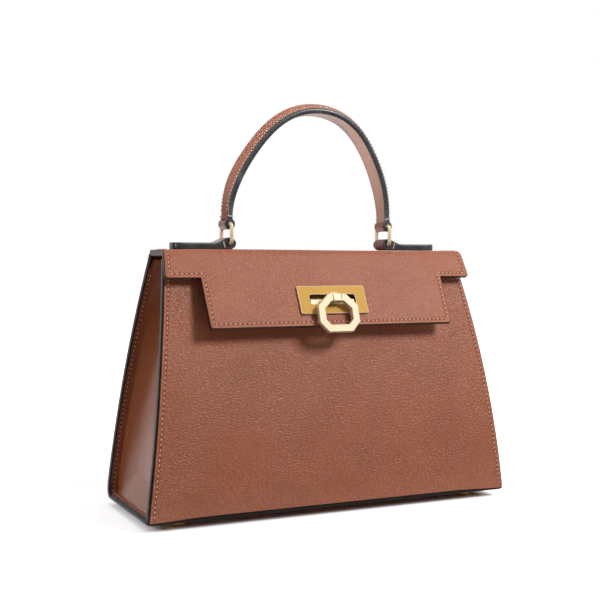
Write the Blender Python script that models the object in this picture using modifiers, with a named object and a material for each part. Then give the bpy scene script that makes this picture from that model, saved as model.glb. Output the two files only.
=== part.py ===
"""Structured leather top-handle bag with a hinged flap, a ring clasp and a stiff arched handle.

Units are metres. X runs along the front from the wearer's left to right, the front faces -Y and
+Z is up. The origin is on the floor below the middle of the base.
"""

import math

import bmesh
import bpy
import numpy as np
from mathutils import Matrix, Vector

# Body: outside sizes over the leather, at the base, halfway up and at the top of the closed flap.
BASE_WIDTH = 0.2800
MID_WIDTH = 0.2578
TOP_WIDTH = 0.2334
BASE_DEPTH = 0.1044
MID_DEPTH = 0.0870
TOP_DEPTH = 0.0316
BODY_TOP = 0.1870
BASE_Z = 0.0055
FOLD_RADIUS = 0.0060
FOLD_UNDER = 0.0080
FACE_STEPS = 9
ARC_STEPS = 4

# Layers of the sewn walls.
LEATHER = 0.0018
BOARD = 0.0012
LINING = 0.0010
GAP = 0.0003
PANEL_RIM_DROP = 0.0060
BOARD_RIM_DROP = 0.0085
BOARD_FOOT = 0.0070
WALL_SETBACK = 0.0012

# Gussets: dished side walls whose turned-out flanges are sewn to the panels and the base.
FLANGE = 0.0065
FLANGE_CORNER = 0.0030
FLANGE_BEND = 0.0020
GUSSET_RIM_DROP = 0.0070
DISH_BASE = 0.0030
DISH_TOP = 0.0120
DISH_RISE = 0.0240
DISH_SHARES = (0.25, 0.5, 0.75, 1.0)
GUSSET_LINING_START_SHARE = 0.2
GUSSET_LINING_GAP = 0.0007

# Base and feet.
BASE_BOARD = 0.0015
BASE_BOARD_INSET = 0.0052
BASE_LINING = 0.0008
FOOT_SIDE_INSET = 0.0250
FOOT_EDGE_INSET = 0.0182
FOOT_RADIUS = 0.0060
FOOT_FLAT_RADIUS = 0.0040
FOOT_SHOULDER = 0.0022
FOOT_SHANK = 0.0015
WASHER_RADIUS = 0.0050
WASHER = 0.0008
BORE_CLEARANCE = 0.0003
ROUND_STEPS = 16

# Slip pocket on the back lining.
POCKET_HALF_WIDTH = 0.0700
POCKET_LOW = 0.0550
POCKET_HIGH = 0.1250

# Flap: the flat top runs forward from the rear fold, then the front leans out.
FLAP_REACH = 0.02276
FLAP_LEAN = math.radians(26.5)
FLAP_RADIUS = 0.0080
LINING_RADIUS = 0.0060
FLAP_LENGTH = 0.0593
EAR_LENGTH = 0.0214
FLAP_HINGE_WIDTH = 0.2345
EAR_WIDTH = 0.2424
TONGUE_TOP_WIDTH = 0.1924
TONGUE_LOW_WIDTH = 0.1900
FLAP_BOARD = 0.0010
FLAP_BOARD_INSET = 0.0035
FLAP_LINING_INSET = 0.0010
HINGE_RELIEF = 0.0013

# Clasp plate on the flap: places are measured down the leaning front from the top corner.
PLATE_WIDTH = 0.0526
PLATE_HEIGHT = 0.0205
PLATE_DOWN = 0.04025
PLATE = 0.0015
PLATE_CORNER = 0.0012
SLOT_SIDE = 0.00805
SLOT_HEIGHT = 0.0085
SLOT_DOWN = 0.03925
SLOT_CORNER = 0.0020
CUTOUT_SIDE = 0.0053
CUTOUT_TOP = 0.0325
CUTOUT_LOW = 0.0468
RIVET_INSET = 0.0033
RIVET_SHANK = 0.0009
RIVET_BITE = 0.0008
RIVET_HEAD_RADIUS = 0.0021
RIVET_HEAD = 0.0008

# Knuckle and clasp ring.
PIN_DOWN = 0.0416
PIN_STAND = 0.0066
PIN_RADIUS = 0.0010
PIN_HALF_LENGTH = 0.0063
KNUCKLE_WIDTH = 0.0066
KNUCKLE_HEAD_HEIGHT = 0.0061
KNUCKLE_HEAD_DEPTH = 0.0048
KNUCKLE_NECK = 0.0032
KNUCKLE_NECK_STAND = 0.0049
KNUCKLE_FLANGE_WIDTH = 0.0120
KNUCKLE_FLANGE = 0.0015
KNUCKLE_FLANGE_RISE = 0.0030
RING_FACE = 0.0053
RING_DEPTH = 0.0040
RING_HEIGHT = 0.0274
RING_WIDTH = 0.0315
RING_TOP_EDGE = 0.0140
RING_LOW_EDGE = 0.0188
RING_TOP_CORNER = 0.0084
RING_LOW_CORNER = 0.0070
METAL_BEVEL = 0.0004

# Lock on the front panel, behind the plate.
LOCK_SIDE = 0.0063
LOCK_TOP = 0.0332
LOCK_LOW = 0.0470
LOCK_STANDOFF = 0.0005
LOCK_BAR_CLEARANCE = 0.00095
LOCK_BAR_RECESS = 0.0012
LOCK_SCREW_X = 0.0120
LOCK_SCREW_SHANK = 0.00125
LOCK_SCREW_BITE = 0.0030
LOCK_SCREW_HEAD_RADIUS = 0.0026
LOCK_SCREW_HEAD = 0.0014
BACKING_WIDTH = 0.0440
BACKING_HEIGHT = 0.0150
BACKING = 0.0008

# Handle fittings: a folded leather tab, a wire ring and a leather loop at each end.
RING_X = 0.0645
TAB_LENGTH = 0.0420
TAB_WIDTH = 0.0160
TAB_THICKNESS = 0.0048
TAB_LOOP_RADIUS = 0.0043
TAB_RAMP = 0.0120
TAB_END_RADIUS = 0.0050
WIRE_RADIUS = 0.00135
WIRE_CLEARANCE = 0.0003
WIRE_BEND = 0.0020
WIRE_RING_WIDTH = 0.0200
WIRE_RING_RISE = 0.0139
LOOP_RADIUS = 0.0040
LOOP_WIDTH = 0.0145
LOOP_NECK = 0.0040
TONGUE_WIDTH = 0.0080
TONGUE_LEATHER = 0.0008
TONGUE_RISE = 0.0085

# Handle: half an ellipse, measured to the middle of its edge, pinched at its shoulders, whose top
# sways to the right.
LOOP_REACH = 0.0050
HANDLE_RISE = 0.0795
HANDLE_SWAY = 0.0066
HANDLE_PINCH = 0.0160
HANDLE_WIDTH = 0.0180
HANDLE_END_WIDTH = 0.0150
HANDLE_EDGE = 0.0044
HANDLE_CROWN = 0.0067
HANDLE_END_CROWN = 0.0038
HANDLE_SHOULDER = 0.0016
HANDLE_STRIP = 0.0020
HANDLE_LEATHER = 0.0020
HANDLE_SEAM = 0.0024
TAPER_SHARE = 0.12
HOLLOW_FULLNESS = 0.5
HANDLE_STEPS = 34
DOME_STEPS = 8

CUT_OVERRUN = 0.0020
WELD = 0.00001

SLOT_WIDTH = PLATE_WIDTH - 2 * SLOT_SIDE
CUTOUT_WIDTH = PLATE_WIDTH - 2 * CUTOUT_SIDE
LOCK_WIDTH = PLATE_WIDTH - 2 * LOCK_SIDE
LOCK_BAR_WIDTH = SLOT_WIDTH - 2 * LOCK_BAR_CLEARANCE
HINGE_Y = TOP_DEPTH / 2 - LEATHER / 2
HINGE_Z = BODY_TOP - LEATHER / 2
TAB_AXIS_Z = BODY_TOP + GAP + TAB_LOOP_RADIUS
LOOP_AXIS_Z = TAB_AXIS_Z + WIRE_RING_RISE
HANDLE_END_Z = LOOP_AXIS_Z + LOOP_REACH


def material(name, colour, roughness, metallic=0.0):
    """A plain Principled material."""
    made = bpy.data.materials.new(name)
    made.use_nodes = True
    shader = made.node_tree.nodes["Principled BSDF"]
    shader.inputs["Base Color"].default_value = (*colour, 1.0)
    shader.inputs["Roughness"].default_value = roughness
    shader.inputs["Metallic"].default_value = metallic
    made.diffuse_color = (*colour, 1.0)
    return made


def clear_scene():
    for item in list(bpy.data.objects):
        bpy.data.objects.remove(item, do_unlink=True)


def new_collection(name):
    made = bpy.data.collections.new(name)
    bpy.context.scene.collection.children.link(made)
    return made


def pivot(name, place, parent=None):
    """An empty on a joint's axis, which carries the pieces that turn there."""
    empty = bpy.data.objects.new(name, None)
    PARTS.objects.link(empty)
    empty.location = place if parent is None else Vector(place) - parent.matrix_world.translation
    empty.parent = parent
    bpy.context.view_layer.update()
    return empty


def add_piece(name, mesh, finish, carrier=None, at=None):
    """Put a mesh into the bag as one named piece, turned with its carrier."""
    piece = bpy.data.objects.new(name, mesh)
    PARTS.objects.link(piece)
    if at is not None:
        piece.matrix_world = at
    if carrier is not None:
        piece.parent = carrier
        piece.matrix_parent_inverse = carrier.matrix_world.inverted()
    if not mesh.materials:
        mesh.materials.append(finish)
    return piece


def add_cutter(name, mesh, at=None):
    cutter = bpy.data.objects.new(name, mesh)
    CUTTERS.objects.link(cutter)
    if at is not None:
        cutter.matrix_world = at
    cutter.hide_render = True
    cutter.display_type = "WIRE"
    return cutter


def cut(piece, *cutters, operation="DIFFERENCE"):
    for cutter in cutters:
        boolean = piece.modifiers.new(cutter.name, "BOOLEAN")
        boolean.operation = operation
        boolean.object = cutter


def mesh_from(build, name):
    """Make a mesh from a function that fills a bmesh."""
    work = bmesh.new()
    build(work)
    mesh = bpy.data.meshes.new(name)
    work.to_mesh(mesh)
    work.free()
    return mesh


def box_mesh(name, low, high):
    """A box between two corners."""
    low, high = Vector(low), Vector(high)
    size = high - low
    place = Matrix.Translation((low + high) / 2) @ Matrix.Diagonal((*size, 1.0))
    return mesh_from(lambda work: bmesh.ops.create_cube(work, size=1.0, matrix=place), name)


def hexa_mesh(name, corners):
    """A cube whose corners go to given places: corners[i][j][k] by low or high x, y and z."""

    def build(work):
        bmesh.ops.create_cube(work, size=1.0)
        for vert in work.verts:
            i, j, k = (int(value > 0) for value in vert.co)
            vert.co = corners[i][j][k]

    return mesh_from(build, name)


def rod_mesh(name, radius, low, high, steps=ROUND_STEPS):
    """A round rod along its own Z."""
    place = Matrix.Translation((0, 0, (low + high) / 2))

    def build(work):
        bmesh.ops.create_cone(
            work, cap_ends=True, segments=steps, radius1=radius, radius2=radius,
            depth=high - low, matrix=place,
        )

    mesh = mesh_from(build, name)
    mesh.shade_smooth()
    mesh.set_sharp_from_angle(angle=math.radians(40))
    return mesh


def turned(name, profile, finish, carrier=None, at=None):
    """A round piece: a profile of (radius, height) from top to bottom, turned about Z."""
    count = len(profile)
    closed = profile[0][0] > 0
    edges = [(i, i + 1) for i in range(count - 1)] + ([(count - 1, 0)] if closed else [])
    mesh = bpy.data.meshes.new(name)
    mesh.from_pydata([(radius, 0, height) for radius, height in profile], edges, [])
    piece = add_piece(name, mesh, finish, carrier, at)
    screw = piece.modifiers.new("turn", "SCREW")
    screw.steps = screw.render_steps = ROUND_STEPS
    screw.use_merge_vertices = True
    screw.merge_threshold = WELD
    screw.use_smooth_shade = False
    return piece


def sheet(name, points, thickness, finish, facing, carrier=None, cells=None):
    """A leather sheet: a grid of points on its outer face, and its thickness behind that face."""
    points = np.asarray(points)
    rows, columns = points.shape[:2]
    keep = np.ones((rows - 1, columns - 1), bool) if cells is None else cells
    faces = [
        (r * columns + c, r * columns + c + 1, (r + 1) * columns + c + 1, (r + 1) * columns + c)
        for r in range(rows - 1) for c in range(columns - 1) if keep[r, c]
    ]

    def build(work):
        verts = [work.verts.new(place) for place in points.reshape(-1, 3)]
        for face in faces:
            work.faces.new([verts[i] for i in face])
        loose = [vert for vert in work.verts if not vert.link_faces]
        bmesh.ops.delete(work, geom=loose, context="VERTS")
        bmesh.ops.remove_doubles(work, verts=work.verts, dist=WELD)
        work.normal_update()
        total = sum((face.normal * face.calc_area() for face in work.faces), Vector())
        if total.dot(Vector(facing)) < 0:
            bmesh.ops.reverse_faces(work, faces=work.faces)

    piece = add_piece(name, mesh_from(build, name), finish, carrier)
    solidify = piece.modifiers.new("thickness", "SOLIDIFY")
    solidify.thickness = thickness
    solidify.offset = -1.0
    solidify.use_even_offset = True
    return piece


def outline_mesh(name, loops, thickness, bevel=0.0):
    """A flat plate in its own XY plane, from an outline and any holes, centred on that plane."""
    curve = bpy.data.curves.new(name, "CURVE")
    curve.dimensions = "2D"
    curve.fill_mode = "BOTH"
    curve.extrude = thickness / 2
    for loop in loops:
        spline = curve.splines.new("POLY")
        spline.points.add(len(loop) - 1)
        for point, (x, y) in zip(spline.points, loop):
            point.co = (x, y, 0, 1)
        spline.use_cyclic_u = True
    mesh = curve_mesh(name, curve)
    if bevel:
        work = bmesh.new()
        work.from_mesh(mesh)
        rims = [
            edge for edge in work.edges
            if edge.calc_face_angle(0.0) > math.radians(60)
            and abs(edge.verts[0].co.z - edge.verts[1].co.z) < WELD
        ]
        bmesh.ops.bevel(work, geom=rims, offset=bevel, segments=1, affect="EDGES")
        work.to_mesh(mesh)
        work.free()
    return mesh


def curve_mesh(name, curve):
    """The closed mesh that a curve makes, with its caps welded on."""
    guide = bpy.data.objects.new(name + "_curve", curve)
    CUTTERS.objects.link(guide)
    bpy.context.view_layer.update()
    ready = guide.evaluated_get(bpy.context.evaluated_depsgraph_get())
    mesh = bpy.data.meshes.new_from_object(ready)
    mesh.materials.clear()
    work = bmesh.new()
    work.from_mesh(mesh)
    bmesh.ops.remove_doubles(work, verts=work.verts, dist=WELD)
    work.to_mesh(mesh)
    work.free()
    bpy.data.objects.remove(guide, do_unlink=True)
    return mesh


def sweep_mesh(name, sections):
    """A closed solid through a row of sections, each the same count of points in space."""
    sections = np.asarray(sections)
    count, size = sections.shape[:2]

    def build(work):
        rings = [[work.verts.new(place) for place in section] for section in sections]
        for near, far in zip(rings[:-1], rings[1:]):
            for i in range(size):
                j = (i + 1) % size
                work.faces.new((near[i], near[j], far[j], far[i]))
        work.faces.new(rings[0][::-1])
        work.faces.new(rings[-1])
        bmesh.ops.recalc_face_normals(work, faces=work.faces)

    return mesh_from(build, name)


def arc(centre, radius, start, end, steps):
    """Points on a round arc, from one angle to another in degrees."""
    angles = np.radians(np.linspace(start, end, steps + 1))
    return [(centre[0] + radius * math.cos(a), centre[1] + radius * math.sin(a)) for a in angles]


def rounded_rectangle(width, height, radius, steps=ARC_STEPS):
    """Outline of a rectangle with round corners about its own centre."""
    x, y = width / 2 - radius, height / 2 - radius
    corners = ((x, y, 0), (-x, y, 90), (-x, -y, 180), (x, -y, 270))
    return [p for cx, cy, turn in corners for p in arc((cx, cy), radius, turn, turn + 90, steps)]


def offset_line(line, distance, closed=False):
    """Move a line to its left by one distance everywhere, with mitred corners."""
    line = np.asarray(line, float)
    ahead = np.roll(line, -1, axis=0) - line
    ahead /= np.linalg.norm(ahead, axis=1)[:, None]
    left = np.stack([-ahead[:, 1], ahead[:, 0]], 1)
    before = np.roll(left, 1, axis=0)
    if not closed:
        left[-1], before[0] = left[-2], left[0]
    mitre = (left + before) / (1.0 + (left * before).sum(axis=1))[:, None]
    return line + mitre * distance


def three_point(base, middle, top, share):
    """The quadratic through a value at the base, one halfway up and one at the top."""
    bend = 2.0 * (base - 2.0 * middle + top)
    return base + (top - base - bend) * share + bend * share ** 2


def height_share(z):
    return (z - BASE_Z) / (BODY_TOP - BASE_Z)


def half_width(z):
    return three_point(BASE_WIDTH, MID_WIDTH, TOP_WIDTH, height_share(z)) / 2


def half_depth(z):
    return three_point(BASE_DEPTH, MID_DEPTH, TOP_DEPTH, height_share(z)) / 2


def face_line(offset, low, high):
    """(y, z) line of the front wall at a depth below its outer face, between two heights."""
    heights = np.linspace(BODY_TOP - PANEL_RIM_DROP, BASE_Z + FOLD_RADIUS, FACE_STEPS + 1)
    line = offset_line([(-half_depth(z), z) for z in heights], offset)
    y, z = line[::-1].T
    stops = np.concatenate([[high], z[(z > low) & (z < high)][::-1], [low]])
    return np.stack([np.interp(stops, z, y), stops], 1)


def panel_line(rim):
    """(y, z) line of a panel's outer face: down the wall, round the fold and in under the base."""
    fold_z = BASE_Z + FOLD_RADIUS
    wall = face_line(0.0, fold_z, rim)
    centre = (wall[-1][0] + FOLD_RADIUS, fold_z)
    fold = arc(centre, FOLD_RADIUS, 180, 270, ARC_STEPS)[1:]
    return np.array([*wall, *fold, (centre[0] + FOLD_UNDER, BASE_Z)])


def wall_points(line, half_span, side):
    """Grid of a wall: each (y, z) of the line at both ends of its span; side -1 front, +1 back."""
    return [[(sign * half_span(z), -side * y, z) for sign in (-1, 1)] for y, z in line]


def lean_matrix(lean, place):
    """A frame whose Z points out of a face that leans out from the vertical, Y up that face."""
    across = Vector((1, 0, 0))
    up = Vector((0, math.sin(lean), math.cos(lean)))
    out = Vector((0, -math.cos(lean), math.sin(lean)))
    frame = Matrix((across, up, out)).transposed().to_4x4()
    frame.translation = place
    return frame


def slope_place(down, stand=0.0, x=0.0):
    """A place on the flap's leaning front: a distance down from its corner and one out of it."""
    y = -FLAP_REACH - down * math.sin(FLAP_LEAN) - stand * math.cos(FLAP_LEAN)
    z = BODY_TOP - down * math.cos(FLAP_LEAN) + stand * math.sin(FLAP_LEAN)
    return Vector((x, y, z))


def slope_frame(down, stand=0.0, x=0.0):
    return lean_matrix(FLAP_LEAN, slope_place(down, stand, x))


def wall_frame(z):
    """Frame on the front panel's outer face at a height, with the panel's own lean."""
    step = FOLD_RADIUS
    lean = math.atan2(half_depth(z - step) - half_depth(z + step), 2 * step)
    return lean_matrix(lean, Vector((0, -half_depth(z), z)))


def build_panels():
    """Front and back panels with their boards and linings, in layers from the outside in."""
    rims = {-1: BODY_TOP - PANEL_RIM_DROP, 1: HINGE_Z - HINGE_RELIEF}
    board_depth = LEATHER + GAP
    lining_depth = board_depth + BOARD + GAP
    inner_rim = BODY_TOP - BOARD_RIM_DROP
    low = BASE_Z + BOARD_FOOT
    made = {}
    for side, word in ((-1, "front"), (1, "back")):
        facing = (0, side, 0)
        line = panel_line(BODY_TOP - PANEL_RIM_DROP)
        if side > 0:
            line[0] = (-half_depth(rims[side]), rims[side])
        shell = wall_points(line, half_width, side)
        board = wall_points(face_line(board_depth, low, inner_rim), inset_width, side)
        inside = wall_points(face_line(lining_depth, low, inner_rim), half_width, side)
        made[word] = [
            sheet(word + "_panel", shell, LEATHER, TAN, facing),
            sheet(word + "_board", board, BOARD, CARD, facing),
            sheet(word + "_lining", inside, LINING, SUEDE, facing),
        ]
    return made


def inset_width(z):
    return half_width(z) - WALL_SETBACK


def build_pocket():
    """Flat slip pocket sewn to the back lining."""
    depth = LEATHER + BOARD + LINING + 3 * GAP
    line = face_line(depth, POCKET_LOW, POCKET_HIGH)
    sheet("inner_pocket", wall_points(line, lambda z: POCKET_HALF_WIDTH, 1), LINING, SUEDE, (0, 1, 0))


def gusset_outline():
    """(y, z) U-shaped line that the flesh side of a gusset's flanges follows."""
    depth = LEATHER + BOARD + LINING + 3 * GAP
    floor = BASE_Z + LEATHER + GAP
    rim = BODY_TOP - GUSSET_RIM_DROP
    front = face_line(depth, BASE_Z + FOLD_RADIUS, rim)
    corner_z = floor + FLANGE_CORNER
    foot_y = front[-1][0]
    corner = arc((foot_y + FLANGE_CORNER, corner_z), FLANGE_CORNER, 180, 270, ARC_STEPS)
    half = np.array([*front, *corner])
    middle = np.array([(half[-1][0] * share, floor) for share in (0.5, 0.0)])
    half = np.concatenate([half, middle])
    return np.concatenate([half, half[-2::-1] * (-1, 1)])


def gusset_rings():
    """Rings of a gusset from its flange's edge to its middle: lists of (y, z, distance in)."""
    outline = gusset_outline()
    low, high = outline[:, 1].min(), outline[:, 1].max()
    rings = []
    for inset, depth in ((0.0, 0.0), (0.0, FLANGE - FLANGE_BEND), (FLANGE_BEND, FLANGE)):
        line = offset_line(outline, inset)
        line[:, 1] = np.minimum(line[:, 1], high)
        line[[0, -1], 1] = high
        rings.append(np.column_stack([line, np.full(len(line), depth)]))
    rim = rings[-1]
    for share in DISH_SHARES:
        y = rim[:, 0] * (1.0 - share)
        z = rim[:, 1] + (np.maximum(rim[:, 1], low + DISH_RISE) - rim[:, 1]) * share
        dish = DISH_BASE + (DISH_TOP - DISH_BASE) * (z - low) / (high - low)
        rings.append(np.column_stack([y, z, FLANGE + dish * (1.0 - (1.0 - share) ** 2)]))
    return rings


def gusset_points(rings, side, deeper=0.0):
    """Rings as places in space; side -1 left, +1 right; deeper moves them towards the inside."""
    return [[(side * (half_width(z) - inward - deeper), y, z) for y, z, inward in ring]
            for ring in rings]


def build_gussets():
    rings = gusset_rings()
    start = rings[2] + (rings[3] - rings[2]) * GUSSET_LINING_START_SHARE
    for side, word in ((-1, "left"), (1, "right")):
        shell = gusset_points(rings, side)
        sheet(word + "_gusset", shell, LEATHER, TAN, (-side, 0, 0))
        inner = gusset_points([start, *rings[3:]], side, GUSSET_LINING_GAP)
        sheet(word + "_gusset_lining", inner, LINING, SUEDE, (side, 0, 0))


def foot_places():
    foot_x = BASE_WIDTH / 2 - FOOT_SIDE_INSET
    foot_y = BASE_DEPTH / 2 - FOOT_EDGE_INSET
    return [(f"{fore}_{hand}", Vector((x, y, 0)))
            for fore, y in (("front", -foot_y), ("back", foot_y))
            for hand, x in (("left", -foot_x), ("right", foot_x))]


def build_base():
    """Base leather between the turned-under panels, its board, its lining and four metal feet."""
    board_z = BASE_Z + LEATHER + GAP
    washer_z = board_z + BASE_BOARD + GAP
    lining_z = washer_z + WASHER + GAP
    fold_y = half_depth(BASE_Z + FOLD_RADIUS) - FOLD_RADIUS
    span_x, span_y = half_width(BASE_Z), fold_y - FOLD_UNDER - GAP
    board_x = half_width(board_z) - FLANGE - GAP - WALL_SETBACK
    board_y = half_depth(board_z) - BASE_BOARD_INSET
    lining_x = board_x - FLANGE_BEND
    leather = box_mesh("base_panel", (-span_x, -span_y, BASE_Z), (span_x, span_y, BASE_Z + LEATHER))
    board = box_mesh(
        "base_board", (-board_x, -board_y, board_z), (board_x, board_y, board_z + BASE_BOARD)
    )
    cover = box_mesh(
        "base_lining", (-lining_x, -board_y, lining_z), (lining_x, board_y, lining_z + BASE_LINING)
    )
    panel = add_piece("base_panel", leather, TAN)
    board_piece = add_piece("base_board", board, CARD)
    add_piece("base_lining", cover, SUEDE)
    shank_top = washer_z + WASHER
    seat = BASE_Z - GAP
    foot = [
        (0, shank_top), (FOOT_SHANK, shank_top), (FOOT_SHANK, seat), (FOOT_RADIUS, seat),
        (FOOT_RADIUS, FOOT_SHOULDER), (FOOT_FLAT_RADIUS, 0), (0, 0),
    ]
    bore = FOOT_SHANK + BORE_CLEARANCE
    washer = [
        (bore, washer_z + WASHER), (WASHER_RADIUS, washer_z + WASHER),
        (WASHER_RADIUS, washer_z), (bore, washer_z),
    ]
    drill = rod_mesh("foot_bore", bore, BASE_Z - CUT_OVERRUN, shank_top)
    for word, place in foot_places():
        at = Matrix.Translation(place)
        turned("foot_" + word, foot, GOLD, at=at)
        turned("foot_washer_" + word, washer, STEEL, at=at)
        cutter = add_cutter("foot_bore_" + word, drill, at)
        cut(panel, cutter)
        cut(board_piece, cutter)


def fold_line(drop, depth, radius, rear, length):
    """(y, z) line over the top and down the front: drop below the top, depth below the front."""
    lean = FLAP_LEAN
    corner = Vector((
        -FLAP_REACH + (depth - math.sin(lean) * drop) / math.cos(lean), BODY_TOP - drop
    ))
    tangent = radius * math.tan((math.pi / 2 - lean) / 2)
    centre = (corner.x + tangent, corner.y - radius)
    bend = arc(centre, radius, 90, 180 - math.degrees(lean), 2 * ARC_STEPS)
    down = Vector((-math.sin(lean), -math.cos(lean)))
    stops = [corner + down * stop for stop in (EAR_LENGTH, length)]
    return [(rear, corner.y), *bend, *[tuple(stop) for stop in stops]]


def flap_grid(line, inset):
    """Grid of a flap layer: ears beside the top and the upper front, then the tongue alone."""
    line = np.asarray(line)
    run = np.concatenate([[0.0], np.cumsum(np.linalg.norm(np.diff(line, axis=0), axis=1))])
    share = run / run[-2]
    ear = (FLAP_HINGE_WIDTH + (EAR_WIDTH - FLAP_HINGE_WIDTH) * share) / 2 - inset
    tongue = np.full(len(line), TONGUE_TOP_WIDTH / 2 - inset)
    tongue[-1] = TONGUE_LOW_WIDTH / 2 - inset
    grid = [[(x, y, z) for x in (-wide, -slim, slim, wide)]
            for (y, z), wide, slim in zip(line, ear, tongue)]
    cells = np.ones((len(line) - 1, 3), bool)
    cells[-1, [0, 2]] = False
    return grid, cells


def build_flap(hinge):
    """Flap leather from the rear fold, its lining, and the board that stiffens its flat top."""
    leather_line = fold_line(0.0, 0.0, FLAP_RADIUS, HINGE_Y, FLAP_LENGTH)
    grid, cells = flap_grid(leather_line, 0.0)
    facing = (0, -math.sin(FLAP_LEAN), math.cos(FLAP_LEAN))
    leather = sheet("flap_leather", grid, LEATHER, TAN, facing, hinge, cells)
    drop = LEATHER + FLAP_BOARD + 2 * GAP
    lining_line = fold_line(
        drop, LEATHER + GAP, LINING_RADIUS, HINGE_Y - FLAP_BOARD_INSET,
        FLAP_LENGTH - FLAP_LINING_INSET,
    )
    grid, cells = flap_grid(lining_line, FLAP_LINING_INSET)
    lining = sheet("flap_lining", grid, LINING, SUEDE, facing, hinge, cells)
    board_x = FLAP_HINGE_WIDTH / 2 - FLAP_BOARD_INSET
    board_top = BODY_TOP - LEATHER - GAP
    flat_end = leather_line[1][0]
    mesh = box_mesh(
        "flap_board",
        (-board_x, flat_end, board_top - FLAP_BOARD),
        (board_x, HINGE_Y - FLAP_BOARD_INSET, board_top),
    )
    add_piece("flap_board", mesh, CARD, hinge)
    middle = (CUTOUT_TOP + CUTOUT_LOW) / 2
    reach = LEATHER + LINING + GAP + CUT_OVERRUN
    window = box_mesh(
        "clasp_window",
        (-CUTOUT_WIDTH / 2, -(CUTOUT_LOW - CUTOUT_TOP) / 2, -reach),
        (CUTOUT_WIDTH / 2, (CUTOUT_LOW - CUTOUT_TOP) / 2, CUT_OVERRUN),
    )
    cutter = add_cutter("clasp_window", window, slope_frame(middle))
    cut(leather, cutter)
    cut(lining, cutter)
    return leather, lining


def build_clasp(hinge, clasp, leather, lining):
    """Slotted plate riveted through the flap, the knuckle in its slot, and the hanging ring."""
    outline = rounded_rectangle(PLATE_WIDTH, PLATE_HEIGHT, PLATE_CORNER)
    rise = PLATE_DOWN - SLOT_DOWN
    slot = [(x, y + rise) for x, y in rounded_rectangle(SLOT_WIDTH, SLOT_HEIGHT, SLOT_CORNER)]
    mesh = outline_mesh("clasp_plate", [outline, slot], PLATE, METAL_BEVEL)
    plate = add_piece("clasp_plate", mesh, GOLD, hinge, slope_frame(PLATE_DOWN, GAP + PLATE / 2))
    tip = GAP + RIVET_BITE
    neck = -(LEATHER + LINING + 2 * GAP)
    profile = [
        (0, tip), (RIVET_SHANK, tip), (RIVET_SHANK, neck), (RIVET_HEAD_RADIUS, neck),
        (RIVET_HEAD_RADIUS, neck - RIVET_HEAD), (0, neck - RIVET_HEAD),
    ]
    drill = rod_mesh("rivet_bore", RIVET_SHANK + BORE_CLEARANCE, neck, tip + BORE_CLEARANCE)
    rivet_x = PLATE_WIDTH / 2 - RIVET_INSET
    for word, x in (("left", -rivet_x), ("right", rivet_x)):
        at = slope_frame(PLATE_DOWN, 0.0, x)
        turned("plate_rivet_" + word, profile, GOLD, hinge, at)
        cutter = add_cutter("rivet_bore_" + word, drill, at)
        for piece in (plate, leather, lining):
            cut(piece, cutter)
    build_knuckle(hinge)
    build_clasp_ring(clasp)


def pin_frame():
    return slope_frame(PIN_DOWN, PIN_STAND)


def across_frame(frame):
    """The same place with Z turned to run along X."""
    return frame @ Matrix.Rotation(math.pi / 2, 4, "Y")


def build_knuckle(hinge):
    """Block that stands out of the slot and carries the ring's pin."""
    half = KNUCKLE_WIDTH / 2
    head_high = KNUCKLE_HEAD_HEIGHT / 2
    head_deep = KNUCKLE_HEAD_DEPTH / 2
    slot_top = PIN_DOWN - SLOT_DOWN + SLOT_HEIGHT / 2
    neck_top = slot_top - 4 * GAP
    neck_low = neck_top - KNUCKLE_NECK
    behind = -PIN_STAND
    mesh = box_mesh("knuckle", (-half, -head_high, -head_deep), (half, head_high, head_deep))
    knuckle = add_piece("knuckle", mesh, POLISHED, hinge, pin_frame())
    neck = box_mesh(
        "knuckle_neck",
        (-half, neck_low, behind - KNUCKLE_FLANGE), (half, neck_top, behind + KNUCKLE_NECK_STAND),
    )
    wide = KNUCKLE_FLANGE_WIDTH / 2
    flange = box_mesh(
        "knuckle_flange",
        (-wide, neck_low, behind - KNUCKLE_FLANGE), (wide, neck_top + KNUCKLE_FLANGE_RISE, behind),
    )
    cut(
        knuckle,
        add_cutter("knuckle_neck", neck, pin_frame()),
        add_cutter("knuckle_flange", flange, pin_frame()),
        operation="UNION",
    )
    bore = rod_mesh("pin_bore", PIN_RADIUS + BORE_CLEARANCE, -KNUCKLE_WIDTH, KNUCKLE_WIDTH)
    cut(knuckle, add_cutter("pin_bore", bore, across_frame(pin_frame())))


def ring_lean():
    """Lean of the hanging ring, whose lower back edge rests just off the flap's leather."""
    reach = RING_HEIGHT - RING_FACE / 2
    thick = RING_DEPTH / 2
    turn = math.asin((PIN_STAND - GAP) / math.hypot(reach, thick)) - math.atan2(thick, reach)
    return FLAP_LEAN - turn


def ring_outline():
    """Eight-sided outline of the clasp ring about its pin, anticlockwise."""
    top = RING_FACE / 2
    low = top - RING_HEIGHT
    right = [
        (RING_LOW_EDGE / 2, low), (RING_WIDTH / 2, low + RING_LOW_CORNER),
        (RING_WIDTH / 2, top - RING_TOP_CORNER), (RING_TOP_EDGE / 2, top),
    ]
    return right + [(-x, y) for x, y in right[::-1]]


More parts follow.
